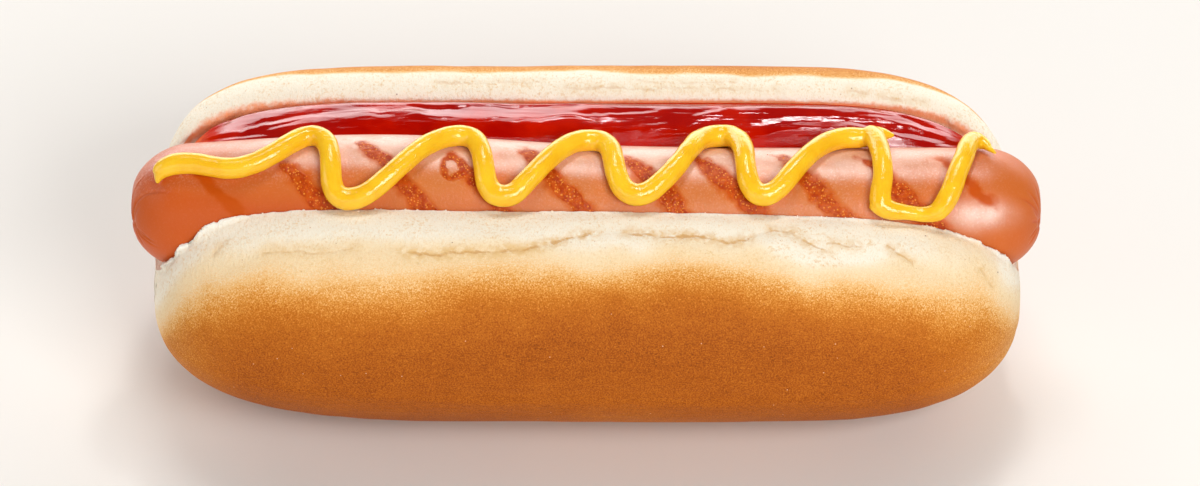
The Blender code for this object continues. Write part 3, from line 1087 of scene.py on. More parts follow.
    def build(self) -> bpy.types.Mesh:
        """The bun's mesh, with its browning, creases and their painted shade, painted rim highlight, ketchup stain and
        bare crumb stored on its points.
        """
        places = self._stations()
        rings, from_front, from_back = (np.stack(part) for part in zip(*(self._ring(x) for x in places)))
        surface = Surface(rings)
        x = rings[..., 0]
        outside = np.zeros(x.shape, bool)
        outside[:, : self.outside_points] = True
        near_front = outside & (from_front < 0.02)
        near_back = outside & (from_back < 0.012)
        height = self.broad_lumps * Unevenness((0.016, 0.012, 0.012), 1).at(rings)
        height += self.small_lumps * Unevenness((0.004, 0.003, 0.003), 2).at(rings)
        # The crease and shadow values place the painted shade along the wrinkles.
        crease, shadow = np.zeros(x.shape), np.zeros(x.shape)
        for near, distance, wrinkles in (
            (near_front, from_front, self.wrinkles), (near_back, from_back, self.back_wrinkles),
        ):
            place = flat_place(x[near], distance[near])
            rough = 0.00045 * Unevenness((0.0016, 0.0016, 1.0), 8).at(place)
            rough += 0.00025 * Unevenness((0.0007, 0.0007, 1.0), 9).at(place)
            for wrinkle in wrinkles:
                away, along = stroke_distance(x[near], distance[near] + rough, wrinkle.line)
                fade = ease(np.minimum(along, 1 - along), -0.05, 0.12)
                height[near] -= self.crease_depth * wrinkle.depth * bell(away, wrinkle.width) * fade
                close = (1 - away / self.crease_reach) * fade
                nearer = close > crease[near]
                crease[near] = np.where(nearer, close, crease[near])
                shadow[near] = np.where(nearer, wrinkle.shadow * fade, shadow[near])
        fold = self.wrinkles[2].line + self.wrinkles[3].line[1:] + self.wrinkles[4].line[1:]
        centre = np.interp(x, *zip(*fold))
        ends = ease(self.half_length - np.abs(x), 0.003, 0.014)
        height -= np.where(outside, self.fold_dip * bell(from_front - centre, self.fold_dip_width) * ends, 0)
        lip = np.minimum(from_front, from_back)
        mouth = np.linalg.norm(rings[:, 0] - rings[:, self.outside_points - 1], axis=1)
        is_open = (ease(mouth, 0.0015, 0.0120) * ease(self.half_length - np.abs(places), 0.0008, 0.0040))[:, None]
        ragged_ends = 0.12 + 0.88 * ease(np.abs(x), 0.056, 0.070) * np.where(from_front < from_back, 1.0, 0.3)
        torn = self.torn_edge + np.where(x < 0, self.torn_left, self.torn_right) * ragged_ends
        ragged = Unevenness((0.0011,) * 3, 11).at(rings) + 1.3 * Unevenness((0.0034,) * 3, 12).at(rings)
        ragged = np.clip(ragged * 2.2, -1.2, 1.2) * 0.7
        height += torn * bell(lip, self.torn_reach) * ragged * is_open
        height += self.lip_ridge * bell(from_front, self.lip_ridge_width) * is_open
        fall, bluntness = self.right_end[0]
        height *= ease((1 - (np.abs(x) / self.half_length) ** fall) ** (1 / bluntness), 0.12, 0.50)
        surface.push(height)
        surface.points[..., 1] = np.clip(surface.points[..., 1], *self.depth_limits)
        low = surface.points[..., 2] < 0.00012
        surface.points[..., 2] = np.where(rings[..., 2] <= 0, 0, np.where(low, 0.00012, surface.points[..., 2]))
        stain = np.interp(x, *zip(*self.stain_width))
        browning = self._browning(rings, from_front, from_back)
        surface.values = {
            "browning": np.where(outside, browning, browning[:, :1] * (1 - is_open)),
            "crease": crease,
            "shadow": shadow,
            # Whiter along the lips, partly a painted highlight.
            "rim": bell(lip, 0.00080) * is_open,
            "stain": np.where(stain > 0, 1 - np.clip(from_back / np.maximum(stain, 1e-5), 0, 1), 0),
            "crumb": np.where(outside, 0.0, is_open),
            "crumbly": np.where(from_front < from_back, bell(lip, 0.0004) * ragged_ends * is_open, 0),
        }
        return surface.mesh("bun_bread")


# ---------------------------------------------------------------------------------------------------------
# The sausage


class Burn(Enum):
    """How the grill left its mark."""

    SMOOTH = "smooth"
    BLISTERED = "blistered"
    RING = "ring"


@dataclass(frozen=True)
class GrillMark:
    """A burnt band that runs slantwise round the sausage.

    Attributes:
        place: where it crosses the middle of the front, along X.
        kind: how it is burnt.
        start: the angle where it begins.
        strength: how dark it is, from 0 to 1.
        end: the angle where it ends.
    """

    place: float
    kind: Burn
    start: float
    strength: float
    end: float = 230.0


@dataclass(frozen=True)
class Gather:
    """A crease in the skin that runs out from the knot at a tip.

    Attributes:
        direction: the angle at which it leaves the knot.
        turn: how far that angle has turned where it ends.
        reach: how long it is.
        depth: how deep it is.
    """

    direction: float
    turn: float
    reach: float
    depth: float


@dataclass(frozen=True)
class Knot:
    """The place at a tip of the sausage where its skin is drawn together.

    Attributes:
        angle: on which side of the axis it lies.
        offset: how far from the axis it lies.
        gathers: the creases that run out from it.
    """

    angle: float
    offset: float
    gathers: tuple


@dataclass
class Sausage:
    """The sausage: round, with creased, drawn-in tips and grill marks."""

    axis: Axis
    length: float = 0.1663
    radius: float = 0.01125
    pucker_depth: float = 0.0010
    pucker_spread: float = 0.0035
    stations: int = 420
    tip_share: float = 0.30
    tip_length: float = 0.0150
    sides: int = 228
    seen_angles: tuple = ((0.0, -60.0), (0.10, 0.0), (0.88, 200.0), (1.0, 300.0))
    unevenness: float = 0.00014
    knot_depth: float = 0.00055
    knot_width: float = 0.0008
    gather_width: float = 0.00030
    left_knot: Knot = Knot(177.0, 0.0054, (
        Gather(62.0, 42.0, 0.0125, 0.00024), Gather(42.0, 22.0, 0.0110, -0.00012), Gather(84.0, 10.0, 0.0055, 0.00014),
        Gather(176.0, 8.0, 0.0050, 0.00036), Gather(198.0, -12.0, 0.0065, 0.00030),
        Gather(214.0, -16.0, 0.0075, 0.00022), Gather(240.0, 0.0, 0.0050, 0.00020),
        Gather(290.0, 0.0, 0.0060, 0.00020), Gather(340.0, 0.0, 0.0070, 0.00020), Gather(20.0, 0.0, 0.0060, 0.00018),
    ))
    right_knot: Knot = Knot(172.0, 0.0044, (
        Gather(140.0, -2.0, 0.0046, 0.00022), Gather(118.0, -14.0, 0.0052, 0.00020),
        Gather(96.0, 8.0, 0.0100, 0.00020), Gather(80.0, 6.0, 0.0085, 0.00018), Gather(62.0, 0.0, 0.0080, 0.00016),
        Gather(186.0, 6.0, 0.0050, 0.00018), Gather(214.0, 0.0, 0.0055, 0.00020), Gather(250.0, 0.0, 0.0050, 0.00018),
        Gather(300.0, 0.0, 0.0060, 0.00020), Gather(20.0, 0.0, 0.0060, 0.00018),
    ))
    mark_slope: float = 0.87
    mark_middle: float = 118.0
    mark_width: float = 0.00180
    mark_sink: float = 0.00008
    wet_and_painted_highlight_patch: tuple = ((0.0702, 146.0), (0.0056, 13.0))
    ring_centre: tuple = (-0.0242, 111.0)
    ring_size: tuple = (0.0022, 0.0030)
    marks: tuple = (
        GrillMark(-0.0680, Burn.SMOOTH, 98.0, 0.90),
        GrillMark(-0.0520, Burn.BLISTERED, 88.0, 0.85),
        GrillMark(-0.0346, Burn.BLISTERED, 66.0, 0.90),
        GrillMark(-0.0205, Burn.RING, 84.0, 0.90),
        GrillMark(-0.0054, Burn.BLISTERED, 68.0, 1.00),
        GrillMark(0.0124, Burn.BLISTERED, 72.0, 0.95),
        GrillMark(0.0260, Burn.BLISTERED, 72.0, 0.90),
        GrillMark(0.0409, Burn.BLISTERED, 70.0, 0.85),
        GrillMark(0.0554, Burn.BLISTERED, 72.0, 0.90),
        GrillMark(0.0691, Burn.SMOOTH, 74.0, 0.90, 134.0),
    )

    def _from_tip(self, travelled: np.ndarray) -> tuple[np.ndarray, np.ndarray]:
        """(X, radius) of the profile at these distances from the nearer tip, for the right half."""
        cap = self.radius * math.pi / 2
        straight = self.length / 2 - self.radius
        lean = np.minimum(travelled / self.radius, math.pi / 2)
        x = straight + self.radius * np.cos(lean) - np.maximum(travelled - cap, 0)
        x = x - self.pucker_depth * bell(travelled, self.pucker_spread)
        return x, self.radius * np.sin(lean)

    def _gathered(self, points: np.ndarray, side: int, knot: Knot) -> np.ndarray:
        """How deep the gathers and the knot at a tip are.

        Args:
            points: the sausage's points, measured from its axis.
            side: 1 for the right tip and -1 for the left.
            knot: the tip's knot.

        Returns:
            The depth at each point.
        """
        across, up = round_sausage(knot.offset, knot.angle)
        out = self.length / 2 - self.radius + math.sqrt(self.radius**2 - knot.offset**2)
        away = np.linalg.norm(points - np.array([side * out, across, up]), axis=-1)
        direction = np.degrees(np.arctan2(points[..., 2] - up, points[..., 1] - across))
        depth = self.knot_depth * bell(away, self.knot_width)
        wobble = 0.00012 * Unevenness((0.0022,) * 3, 35).at(points)
        for gather in knot.gathers:
            centre = gather.direction + gather.turn * np.clip(away / gather.reach, 0, 1)
            turned = (direction - centre + 180) % 360 - 180
            beside = np.where(np.abs(turned) < 90, away * np.sin(np.radians(turned)), 1.0)
            fade = ease(away, 0.0004, 0.0016) * (1 - ease(away, gather.reach * 0.55, gather.reach))
            depth += gather.depth * bell(beside + wobble, self.gather_width) * fade
        return depth

    def _marks(self, x: np.ndarray, degrees: np.ndarray) -> tuple[np.ndarray, np.ndarray]:
        """The grill marks.

        Args:
            x: each point's place along the sausage.
            degrees: each point's angle.

        Returns:
            How burnt and how blistered each point is, from 0 to 1.
        """
        arc = self.radius * np.radians(degrees)
        place = flat_place(x, arc)
        ragged = 0.00060 * Unevenness((0.0013, 0.0013, 1.0), 21).at(place)
        ragged += 0.00055 * Unevenness((0.0050, 0.0050, 1.0), 22).at(place)
        burn, blister = np.zeros(x.shape), np.zeros(x.shape)
        lean = math.hypot(1, self.mark_slope)
        for k, mark in enumerate(self.marks):
            middle = mark.place + (arc - self.radius * math.radians(self.mark_middle)) * self.mark_slope
            grown = 0.55 + 0.45 * ease(degrees, mark.start, mark.start + 32)
            grown = grown * (0.65 if mark.kind is Burn.SMOOTH else 1.0)
            away = np.abs((x - middle) / lean + ragged) / (self.mark_width * grown)
            uneven = degrees + 7 * Unevenness((0.002, 0.002, 1.0), 30 + k).at(place)
            length = ease(uneven, mark.start, mark.start + 24) * (1 - ease(uneven, mark.end - 8, mark.end + 8))
            band = (1 - ease(away, 0.20, 1.80)) * length
            core = (1 - ease(away, 0.55, 1.10)) * length
            if mark.kind is Burn.RING:
                ring_arc = self.radius * math.radians(self.ring_centre[1])
                out = np.hypot((x - self.ring_centre[0]) / self.ring_size[0], (arc - ring_arc) / self.ring_size[1])
                out = out + ragged / 0.0030
                hole = 1 - ease(out, 0.42, 0.66)
                band = np.maximum(band, 1 - ease(out, 0.90, 1.20)) * (1 - hole)
                core = np.maximum(core, 1 - ease(out, 0.85, 1.05)) * (1 - hole)
            patchy = ease(Unevenness((0.0042, 0.0042, 1.0), 60 + k).at(place), -1.5, -0.5)
            burn = np.maximum(burn, band * mark.strength)
            if mark.kind is not Burn.SMOOTH:
                blister = np.maximum(blister, core * patchy * mark.strength)
        return burn, blister

    def _film(self, x: np.ndarray, degrees: np.ndarray) -> np.ndarray:
        """How wet with fat each point is, which also sets where a grainy painted sheen lies: most along the top and in
        a patch near the right tip.
        """
        lower = np.interp(x, (-0.045, 0.000, 0.050, 0.066), (0.10, 0.40, 0.50, 0.10))
        film = lower + (1 - lower) * (1 - ease(degrees, 104, 138)) * ease(0.083 - x, 0.004, 0.018)
        film = lower + (film - lower) * ease(degrees, -55, -10)
        return np.maximum(film, self._patch(x, degrees))

    def _patch(self, x: np.ndarray, degrees: np.ndarray) -> np.ndarray:
        """How near each point is to the middle of the patch near the right tip, which is wetter and carries a painted
        highlight, from 0 to 1.
        """
        (middle, angle), (reach, turn) = self.wet_and_painted_highlight_patch
        return bell(np.hypot((x - middle) / reach, (degrees - angle) / turn), 1.0)

    def build(self) -> bpy.types.Mesh:
        """The sausage's mesh, with its burns, blisters, fat film, painted sheen and highlight, and its warmth of
        colour and painted shade stored on its points.
        """
        half = self.radius * math.pi / 2 + self.length / 2 - self.radius
        spacing = ((0.0, 0.00004), (self.tip_share, self.tip_length), (1.0, half))
        travelled = np.interp(np.linspace(0, 1, self.stations // 2), *zip(*spacing))
        right_x, right_radius = self._from_tip(travelled)
        profile_x = np.concatenate([-right_x, right_x[-2::-1]])
        profile_radius = np.concatenate([right_radius, right_radius[-2::-1]])
        from_tip = np.concatenate([travelled, travelled[-2::-1]])
        turn = np.linspace(0, 1, self.sides, endpoint=False)
        degrees, from_tip = np.meshgrid(np.interp(turn, *zip(*self.seen_angles)), from_tip)
        x = np.repeat(profile_x[:, None], self.sides, axis=1)
        section = round_sausage(profile_radius[:, None], degrees)
        surface = Surface(np.stack([x, section[..., 0], section[..., 1] + self.axis.height_at(x)], axis=-1))
        rings = surface.points
        full = ease(from_tip, 0.0, 0.006)
        height = self.unevenness * Unevenness((0.018, 0.009, 0.009), 41).at(rings) * full
        from_axis = np.stack([x, section[..., 0], section[..., 1]], axis=-1)
        creased = np.where(
            x > 0, self._gathered(from_axis, 1, self.right_knot), self._gathered(from_axis, -1, self.left_knot)
        )
        burn, blister = self._marks(x, degrees)
        froth = Unevenness((0.0009,) * 3, 43).at(rings) + 0.6 * Unevenness((0.0005,) * 3, 44).at(rings)
        height += blister * (0.00006 * froth + 0.00003) - self.mark_sink * burn - creased
        surface.push(np.minimum(height, 0.0002))
        # Warmer, darker colour toward the tips, partly painted shade, and painted shade low on the front of the
        # sausage and in the gathers at its tips.
        tips = np.interp(x, (-0.083, -0.068, -0.040, 0.050, 0.074, 0.083), (1.1, 0.75, 0.12, 0.05, 0.45, 0.55))
        under = ease(degrees, 122, 160) * (1 - ease(degrees, 220, 290)) * np.interp(x, (-0.05, -0.01), (0.60, 0.12))
        surface.values = {
            "film": self._film(x, degrees),
            # A painted sheen along the top, and a painted highlight in the patch near the right tip.
            "bloom": np.maximum(
                (1 - ease(degrees, 98, 117)) * ease(degrees, -55, -10) * ease(0.079 - np.abs(x), 0.0, 0.032),
                1.25 * self._patch(x, degrees),
            ),
            "burn": burn, "blister": blister, "warmth": np.clip(tips + under + creased / self.knot_depth, 0, 1.4),
        }
        return surface.mesh("grilled_sausage")


# ---------------------------------------------------------------------------------------------------------
# The sauces


@dataclass(frozen=True)
class Ledge:
    """A strip of ketchup that leans back towards the lip, where it catches the light.

    Attributes:
        line: (X, share of the way from the lip to the front) of its points.
        drop: how far it falls.
        width: how wide it is, as a share.
    """

    line: tuple
    drop: float
    width: float


@dataclass
class Ketchup:
    """A squirt of ketchup that fills the cut behind the sausage, drawn out in wavy ledges."""

    axis: Axis
    bun: Bun
    half_length: float = 0.0720
    hold: float = 0.01115
    gap: float = 0.00015
    front: float = 54.0
    foot: float = -2.0
    crown: tuple = (
        (0.0, 0.0), (0.10, 0.00075), (0.20, 0.00150), (0.28, 0.00183), (0.40, 0.00178), (0.55, 0.00152),
        (0.70, 0.00118), (0.85, 0.00072), (0.94, 0.00034), (1.0, 0.0),
    )
    stations: int = 460
    down_points: int = 14
    up_points: int = 14
    crown_points: int = 130
    swell: float = 0.00010
    streaks: float = 0.000035
    bristles: float = 0.000016
    end_lumps: float = 0.00030
    ledge_reach: float = 0.20
    ledges: tuple = (
        Ledge(((-0.0660, 0.84), (-0.0590, 0.66), (-0.0466, 0.55), (-0.0357, 0.46), (-0.0280, 0.46)), 0.00034, 0.13),
        Ledge(((-0.0600, 0.82), (-0.0520, 0.70), (-0.0440, 0.65), (-0.0340, 0.58)), 0.00020, 0.08),
        Ledge(((-0.0340, 0.50), (-0.0193, 0.49), (-0.0084, 0.43), (0.0010, 0.38)), 0.00056, 0.26),
        Ledge(((-0.0080, 0.56), (0.0020, 0.48), (0.0102, 0.41), (0.0170, 0.28)), 0.00016, 0.06),
        Ledge(((-0.0020, 0.76), (0.0060, 0.72), (0.0120, 0.65), (0.0165, 0.58)), 0.00018, 0.07),
        Ledge(((0.0170, 0.60), (0.0215, 0.40), (0.0257, 0.27), (0.0330, 0.24), (0.0420, 0.25)), 0.00022, 0.09),
        Ledge(((0.0290, 0.74), (0.0380, 0.64), (0.0478, 0.57), (0.0550, 0.74), (0.0670, 0.88)), 0.00030, 0.11),
        Ledge(((0.0500, 0.30), (0.0550, 0.38), (0.0600, 0.50), (0.0650, 0.62)), 0.00034, 0.16),
    )

    def _ring(self, x: float) -> tuple[np.ndarray, np.ndarray]:
        """The section at X: down the sausage, up the bread and forward over the crown.

        Args:
            x: the place along the ketchup.

        Returns:
            Its points, and how far across the crown each is: 0 at the lip, 1 at the front, -1 elsewhere.
        """
        lip = polar(self.bun.skin_at(x)[-1])
        down = np.linspace(self.front, self.foot, self.down_points)
        up = np.linspace(self.foot, lip[0], self.up_points)
        wall = self.bun.wall_radius(up, lip) - self.gap
        start = round_sausage(wall[-1], lip[0])
        end = round_sausage(self.hold, self.front)
        across = end - start
        outward = np.array([across[1], -across[0]]) / np.hypot(*across)
        share = np.linspace(0, 1, self.crown_points + 2)[1:-1, None]
        rise = np.interp(share, *smooth_through(np.array(self.crown), 12).T)
        crown = start + across * share + outward * rise
        degrees = np.concatenate([down, up, polar(crown)[0]])
        radius = np.concatenate([np.full(len(down), self.hold), wall, polar(crown)[1]])
        fullness = (1 - min(abs(x) / self.half_length, 1.0) ** 12) ** 0.5
        middle = (self.front + self.foot) / 2
        ring = round_sausage(
            self.hold + (radius - self.hold) * fullness, middle + (degrees - middle) * fullness
        )
        lower = np.full(self.down_points + self.up_points, -1.0)
        points = np.stack([np.full(len(ring), x), ring[:, 0], ring[:, 1] + self.axis.height_at(x)], axis=1)
        return points, np.concatenate([lower, share[:, 0]])

    def _relief(self, x: np.ndarray, share: np.ndarray) -> np.ndarray:
        """How high the crown stands out at each point, from its ledges, swells and streaks."""
        place = flat_place(x, share)
        wobble = 0.035 * Unevenness((0.0045, 0.5, 1.0), 71).at(place)
        wobble += 0.018 * Unevenness((0.0014, 0.5, 1.0), 72).at(place)
        height = self.swell * Unevenness((0.011, 0.24, 1.0), 73).at(place)
        height += self.streaks * Unevenness((0.0048, 0.075, 1.0), 74).at(place)
        height += self.bristles * Unevenness((0.0060, 0.030, 1.0), 76).at(place)
        height *= 1 - 0.7 * ease(share, 0.48, 0.66)
        near_end = 1 - ease(self.half_length - np.abs(x), 0.004, 0.018)
        height += near_end * self.end_lumps * Unevenness((0.0062, 0.15, 1.0), 75).at(place)
        for k, ledge in enumerate(self.ledges):
            first, last = ledge.line[0][0], ledge.line[-1][0]
            away = np.interp(x, *zip(*ledge.line)) + wobble - share
            width = ledge.width * (1 + 0.5 * Unevenness((0.005, 1.0, 1.0), 80 + k).at(place))
            fall = 0.5 - np.clip(away / width + 0.5, 0, 1)
            recovered = ease(np.abs(away), width / 2, self.ledge_reach)
            ends = ease(np.minimum(x - first, last - x), 0.0, 0.004)
            height += ledge.drop * fall * (1 - recovered) * ends
        return height

    def build(self) -> bpy.types.Mesh:
        """The ketchup's mesh, with how thin and how dull it is stored on its points."""
        turn = np.linspace(-1, 1, self.stations)
        places = self.half_length * 0.9998 * (0.6 * turn + 0.4 * np.sin(turn * math.pi / 2))
        rings, share = (np.stack(part) for part in zip(*(self._ring(x) for x in places)))
        surface = Surface(rings)
        x = rings[..., 0]
        on_crown = share >= 0
        from_end = self.half_length - np.abs(x)
        fade = ease(np.minimum(share, 1 - share), 0.02, 0.12) * ease(from_end, 0.0, 0.004)
        surface.push(np.where(on_crown, self._relief(x, share) * fade, 0))
        edge = 1 - ease(share, 0.0, 0.16)
        ends = 1 - ease(from_end, 0.0002, 0.0090)
        middle = ease(x, -0.050, -0.040) * (1 - ease(x, 0.046, 0.056))
        surface.values = {
            "thin": np.where(on_crown, np.maximum(edge, ends), 0.0),
            "dull": np.where(on_crown, ease(share, 0.58, 0.76) * middle, 1.0),
        }
        return surface.mesh("tomato_ketchup")


class GeometryTree:
    """A Geometry Nodes tree that is built node by node and applied to one object."""

    def __init__(self, name: str) -> None:
        """Makes an empty tree with a geometry input and output."""
        self.group = bpy.data.node_groups.new(name, "GeometryNodeTree")
        self.group.interface.new_socket("Geometry", in_out="INPUT", socket_type="NodeSocketGeometry")
        self.group.interface.new_socket("Geometry", in_out="OUTPUT", socket_type="NodeSocketGeometry")
        self.start = self.group.nodes.new("NodeGroupInput")
        self.end = self.group.nodes.new("NodeGroupOutput")
        self.sizes: dict[str, object] = {}

    def size(self, name: str, value: float | bpy.types.Object | bpy.types.Material) -> bpy.types.NodeSocket:
        """Adds a named input.

        Args:
            name: what the input is called.
            value: its value on the object that the tree is applied to.

        Returns:
            The input's socket inside the tree.
        """
        kinds = {float: "NodeSocketFloat", int: "NodeSocketInt", bpy.types.Material: "NodeSocketMaterial"}
        kind = next(socket for base, socket in kinds.items() if isinstance(value, base))
        socket = self.group.interface.new_socket(name, in_out="INPUT", socket_type=kind)
        self.sizes[socket.identifier] = value
        return self.start.outputs[name]

    def add(self, kind: str, settings: dict | None = None, inputs: dict | None = None) -> bpy.types.Node:
        """Adds a node.

        Args:
            kind: the node's type.
            settings: its settings, set first.
            inputs: values or sockets, by input name or number.

        Returns:
            The node.
        """
        node = self.group.nodes.new(kind)
        for name, setting in (settings or {}).items():
            setattr(node, name, setting)
        for key, value in (inputs or {}).items():
            if isinstance(value, bpy.types.NodeSocket):
                self.group.links.new(value, node.inputs[key])
            else:
                node.inputs[key].default_value = value
        return node

    def apply(self, name: str, target: bpy.types.Object, shape: bpy.types.NodeSocket,
              material: bpy.types.NodeSocket) -> bpy.types.Mesh:
        """Ends the tree, runs it on an object and takes the object away.

        Args:
            name: what to call the mesh.
            target: the object whose geometry goes in.
            shape: the geometry that comes out.
            material: the input that holds its material.

        Returns:
            The result as a plain mesh.
        """
        real = self.add("GeometryNodeRealizeInstances", None, {"Geometry": shape})
        dressed = self.add(
            "GeometryNodeSetMaterial", None, {"Geometry": real.outputs["Geometry"], "Material": material}
        )
        self.group.links.new(dressed.outputs["Geometry"], self.end.inputs[0])
        bpy.context.scene.collection.objects.link(target)
        modifier = target.modifiers.new(name, "NODES")
        modifier.node_group = self.group
        for identifier, value in self.sizes.items():
            modifier[identifier] = value
        graph = bpy.context.evaluated_depsgraph_get()
        mesh = bpy.data.meshes.new_from_object(target.evaluated_get(graph))
        mesh.name = name
        target.modifiers.remove(modifier)
        bpy.data.objects.remove(target)
        return mesh


@dataclass(frozen=True)
class Strand:
    """A stretch of mustard.

    Attributes:
        places: (X, angle, lift, thickness) of the points that its middle line runs smoothly through. Its lift
            off the sausage and its thickness count in bead radii.
    """

    places: tuple


@dataclass
class Mustard:
    """A bead of mustard piped in a zigzag over the sausage, with pulled-out peaks."""

    axis: Axis
    sausage: Sausage
    top: float = 0.0555
    bead: float = 0.0019
    touch: float = 0.00010
    steps: int = 10
    spacing: float = 0.0003
    sides: int = 28
    fineness: float = 0.00024
    lumps: float = 0.00007
    zigzag: Strand = Strand((
        (-0.0770, 112.0, 0.76, 0.62), (-0.0762, 108.0, 0.80, 0.88), (-0.0746, 105.0, 0.84, 1.02), (-0.0710, 105.0, 0.85, 1.04),
        (-0.0668, 109.5, 0.85, 1.02), (-0.0632, 112.0, 0.85, 1.02), (-0.0600, 109.5, 0.85, 1.02),
        (-0.0562, 100.5, 0.86, 1.02), (-0.0528, 88.5, 0.88, 1.02), (-0.0506, 81.5, 0.90, 1.00),
        (-0.0487, 81.0, 0.90, 1.00), (-0.0470, 88.5, 0.88, 1.00), (-0.0460, 101.0, 0.86, 1.00),
        (-0.0457, 115.0, 0.86, 1.02), (-0.0455, 128.0, 0.86, 1.04), (-0.0448, 137.0, 0.86, 1.06),
        (-0.0435, 141.5, 0.86, 1.08), (-0.0418, 142.0, 0.86, 1.08), (-0.0397, 139.0, 0.86, 1.06),
        (-0.0368, 130.0, 0.86, 1.03), (-0.0329, 113.0, 0.86, 1.00), (-0.0287, 94.0, 0.88, 1.00),
        (-0.0252, 82.5, 0.90, 1.00), (-0.0224, 78.5, 0.90, 1.02), (-0.0202, 83.5, 0.90, 1.02),
        (-0.0190, 96.5, 0.88, 1.00), (-0.0184, 111.0, 0.86, 1.02), (-0.0178, 126.0, 0.86, 1.04),
        (-0.0166, 134.0, 0.86, 1.06), (-0.0149, 136.0, 0.86, 1.08), (-0.0130, 133.5, 0.86, 1.06),
        (-0.0107, 123.0, 0.86, 1.03), (-0.0072, 103.5, 0.86, 1.00), (-0.0043, 88.0, 0.88, 1.02),
        (-0.0020, 78.5, 0.90, 1.04), (0.0003, 74.5, 0.92, 1.05), (0.0026, 76.0, 0.92, 1.04),
        (0.0041, 85.0, 0.90, 1.02), (0.0048, 98.0, 0.88, 1.02), (0.0054, 113.0, 0.86, 1.04),
        (0.0066, 125.0, 0.86, 1.06), (0.0086, 130.0, 0.86, 1.08), (0.0109, 128.0, 0.86, 1.06),
        (0.0132, 119.5, 0.86, 1.03), (0.0163, 103.5, 0.86, 1.00), (0.0187, 84.0, 0.88, 1.00),
        (0.0206, 67.5, 0.98, 1.02), (0.0231, 58.5, 1.10, 1.06), (0.0257, 58.5, 1.12, 1.06),
        (0.0275, 69.5, 1.00, 1.02), (0.0283, 84.5, 0.90, 1.00), (0.0286, 101.0, 0.86, 1.00),
        (0.0291, 117.0, 0.86, 1.02), (0.0302, 126.5, 0.86, 1.05), (0.0317, 129.0, 0.86, 1.08),
        (0.0333, 127.0, 0.86, 1.05), (0.0353, 119.0, 0.86, 1.02), (0.0380, 103.0, 0.86, 1.00),
        (0.0408, 86.5, 0.88, 1.00), (0.0434, 73.5, 0.96, 1.02), (0.0464, 64.5, 1.06, 1.04),
        (0.0496, 62.5, 1.06, 1.00),
    ))
    hook: Strand = Strand((
        (0.0512, 61.0, 1.35, 1.00), (0.0521, 69.0, 1.18, 1.00), (0.0528, 82.0, 0.92, 0.98),
        (0.0532, 98.0, 0.88, 0.96), (0.0532, 112.0, 0.86, 0.96), (0.0527, 126.0, 0.86, 1.00),
        (0.0528, 136.5, 0.84, 1.02), (0.0545, 141.0, 0.76, 0.92), (0.0575, 143.0, 0.62, 0.72),
        (0.0605, 144.5, 0.60, 0.72), (0.0627, 142.5, 0.74, 0.88), (0.0643, 135.0, 0.84, 1.00),
        (0.0656, 122.5, 0.86, 1.00), (0.0666, 109.0, 0.86, 0.98), (0.0679, 94.0, 0.86, 0.96),
        (0.0688, 79.0, 0.88, 0.94), (0.0702, 67.0, 0.90, 0.92), (0.0716, 70.0, 0.80, 0.66),
        (0.0728, 79.0, 0.66, 0.30), (0.0738, 84.0, 0.55, 0.14),
    ))
    tails: tuple = (
        Strand(((0.0250, 58.5, 1.12, 0.90), (0.0272, 55.5, 1.22, 0.58), (0.0292, 55.5, 1.25, 0.18))),
        Strand(((0.0496, 62.5, 1.06, 0.95), (0.0530, 59.5, 1.30, 0.80), (0.0558, 60.0, 1.25, 0.14))),
        Strand(((-0.0764, 109.0, 0.78, 0.70), (-0.0768, 114.0, 0.66, 0.44), (-0.0769, 119.0, 0.52, 0.16))),
        Strand(((0.0528, 134.0, 0.84, 0.90), (0.0518, 139.5, 0.80, 0.70), (0.0513, 142.0, 0.76, 0.50))),
    )

    def line(self, strand: Strand) -> tuple[np.ndarray, np.ndarray]:
        """A strand's middle line.

        Args:
            strand: the strand.

        Returns:
            Its points, and its thickness at each in bead radii.
        """
        places = np.array(strand.places)
        places[:, 1] = np.radians(places[:, 1]) * self.sausage.radius
        x, arc, lift, thickness = smooth_through(places, self.steps).T
        past = np.maximum(np.abs(x) - (self.sausage.length / 2 - self.sausage.radius), 0)
        radius = np.sqrt((self.sausage.radius + self.bead * lift) ** 2 - past**2)
        section = round_sausage(radius[:, None], np.degrees(arc / self.sausage.radius)[:, None])[:, 0]
        return np.stack([x, section[:, 0], section[:, 1] + self.axis.height_at(x)], axis=1), thickness

    def build(self, material: bpy.types.Material) -> bpy.types.Mesh:
        """The mustard's mesh: its strands as tubes, melted together and laid on the sausage.

        Args:
            material: the mustard's material.

        Returns:
            The mesh.
        """
        curve = bpy.data.curves.new("mustard_line", "CURVE")
        curve.dimensions = "3D"
        for strand in (self.zigzag, self.hook, *self.tails):
            line, thickness = self.line(strand)
            spline = curve.splines.new("POLY")
            spline.points.add(len(line) - 1)
            for point, place, thick in zip(spline.points, line, thickness):
                point.co = (*place, 1)
                point.radius = thick
        tree = GeometryTree("piped_mustard")
        bead = tree.size("Bead Radius", self.bead)
        spacing = tree.size("Spacing", self.spacing)
        dressing = tree.size("Material", material)
        even = tree.add("GeometryNodeResampleCurve", {"mode": "LENGTH"},
                        {"Curve": tree.start.outputs[0], "Length": spacing})
        ring = tree.add("GeometryNodeCurvePrimitiveCircle", None, {"Resolution": self.sides, "Radius": bead})
        tube = tree.add("GeometryNodeCurveToMesh", None, {
            "Curve": even.outputs["Curve"], "Profile Curve": ring.outputs["Curve"],
            "Scale": tree.add("GeometryNodeInputRadius").outputs["Radius"], "Fill Caps": True,
        })
        mesh = tree.apply("yellow_mustard", bpy.data.objects.new("mustard_line", curve), tube.outputs["Mesh"],
                          dressing)
        return self._melt(closed(mesh))

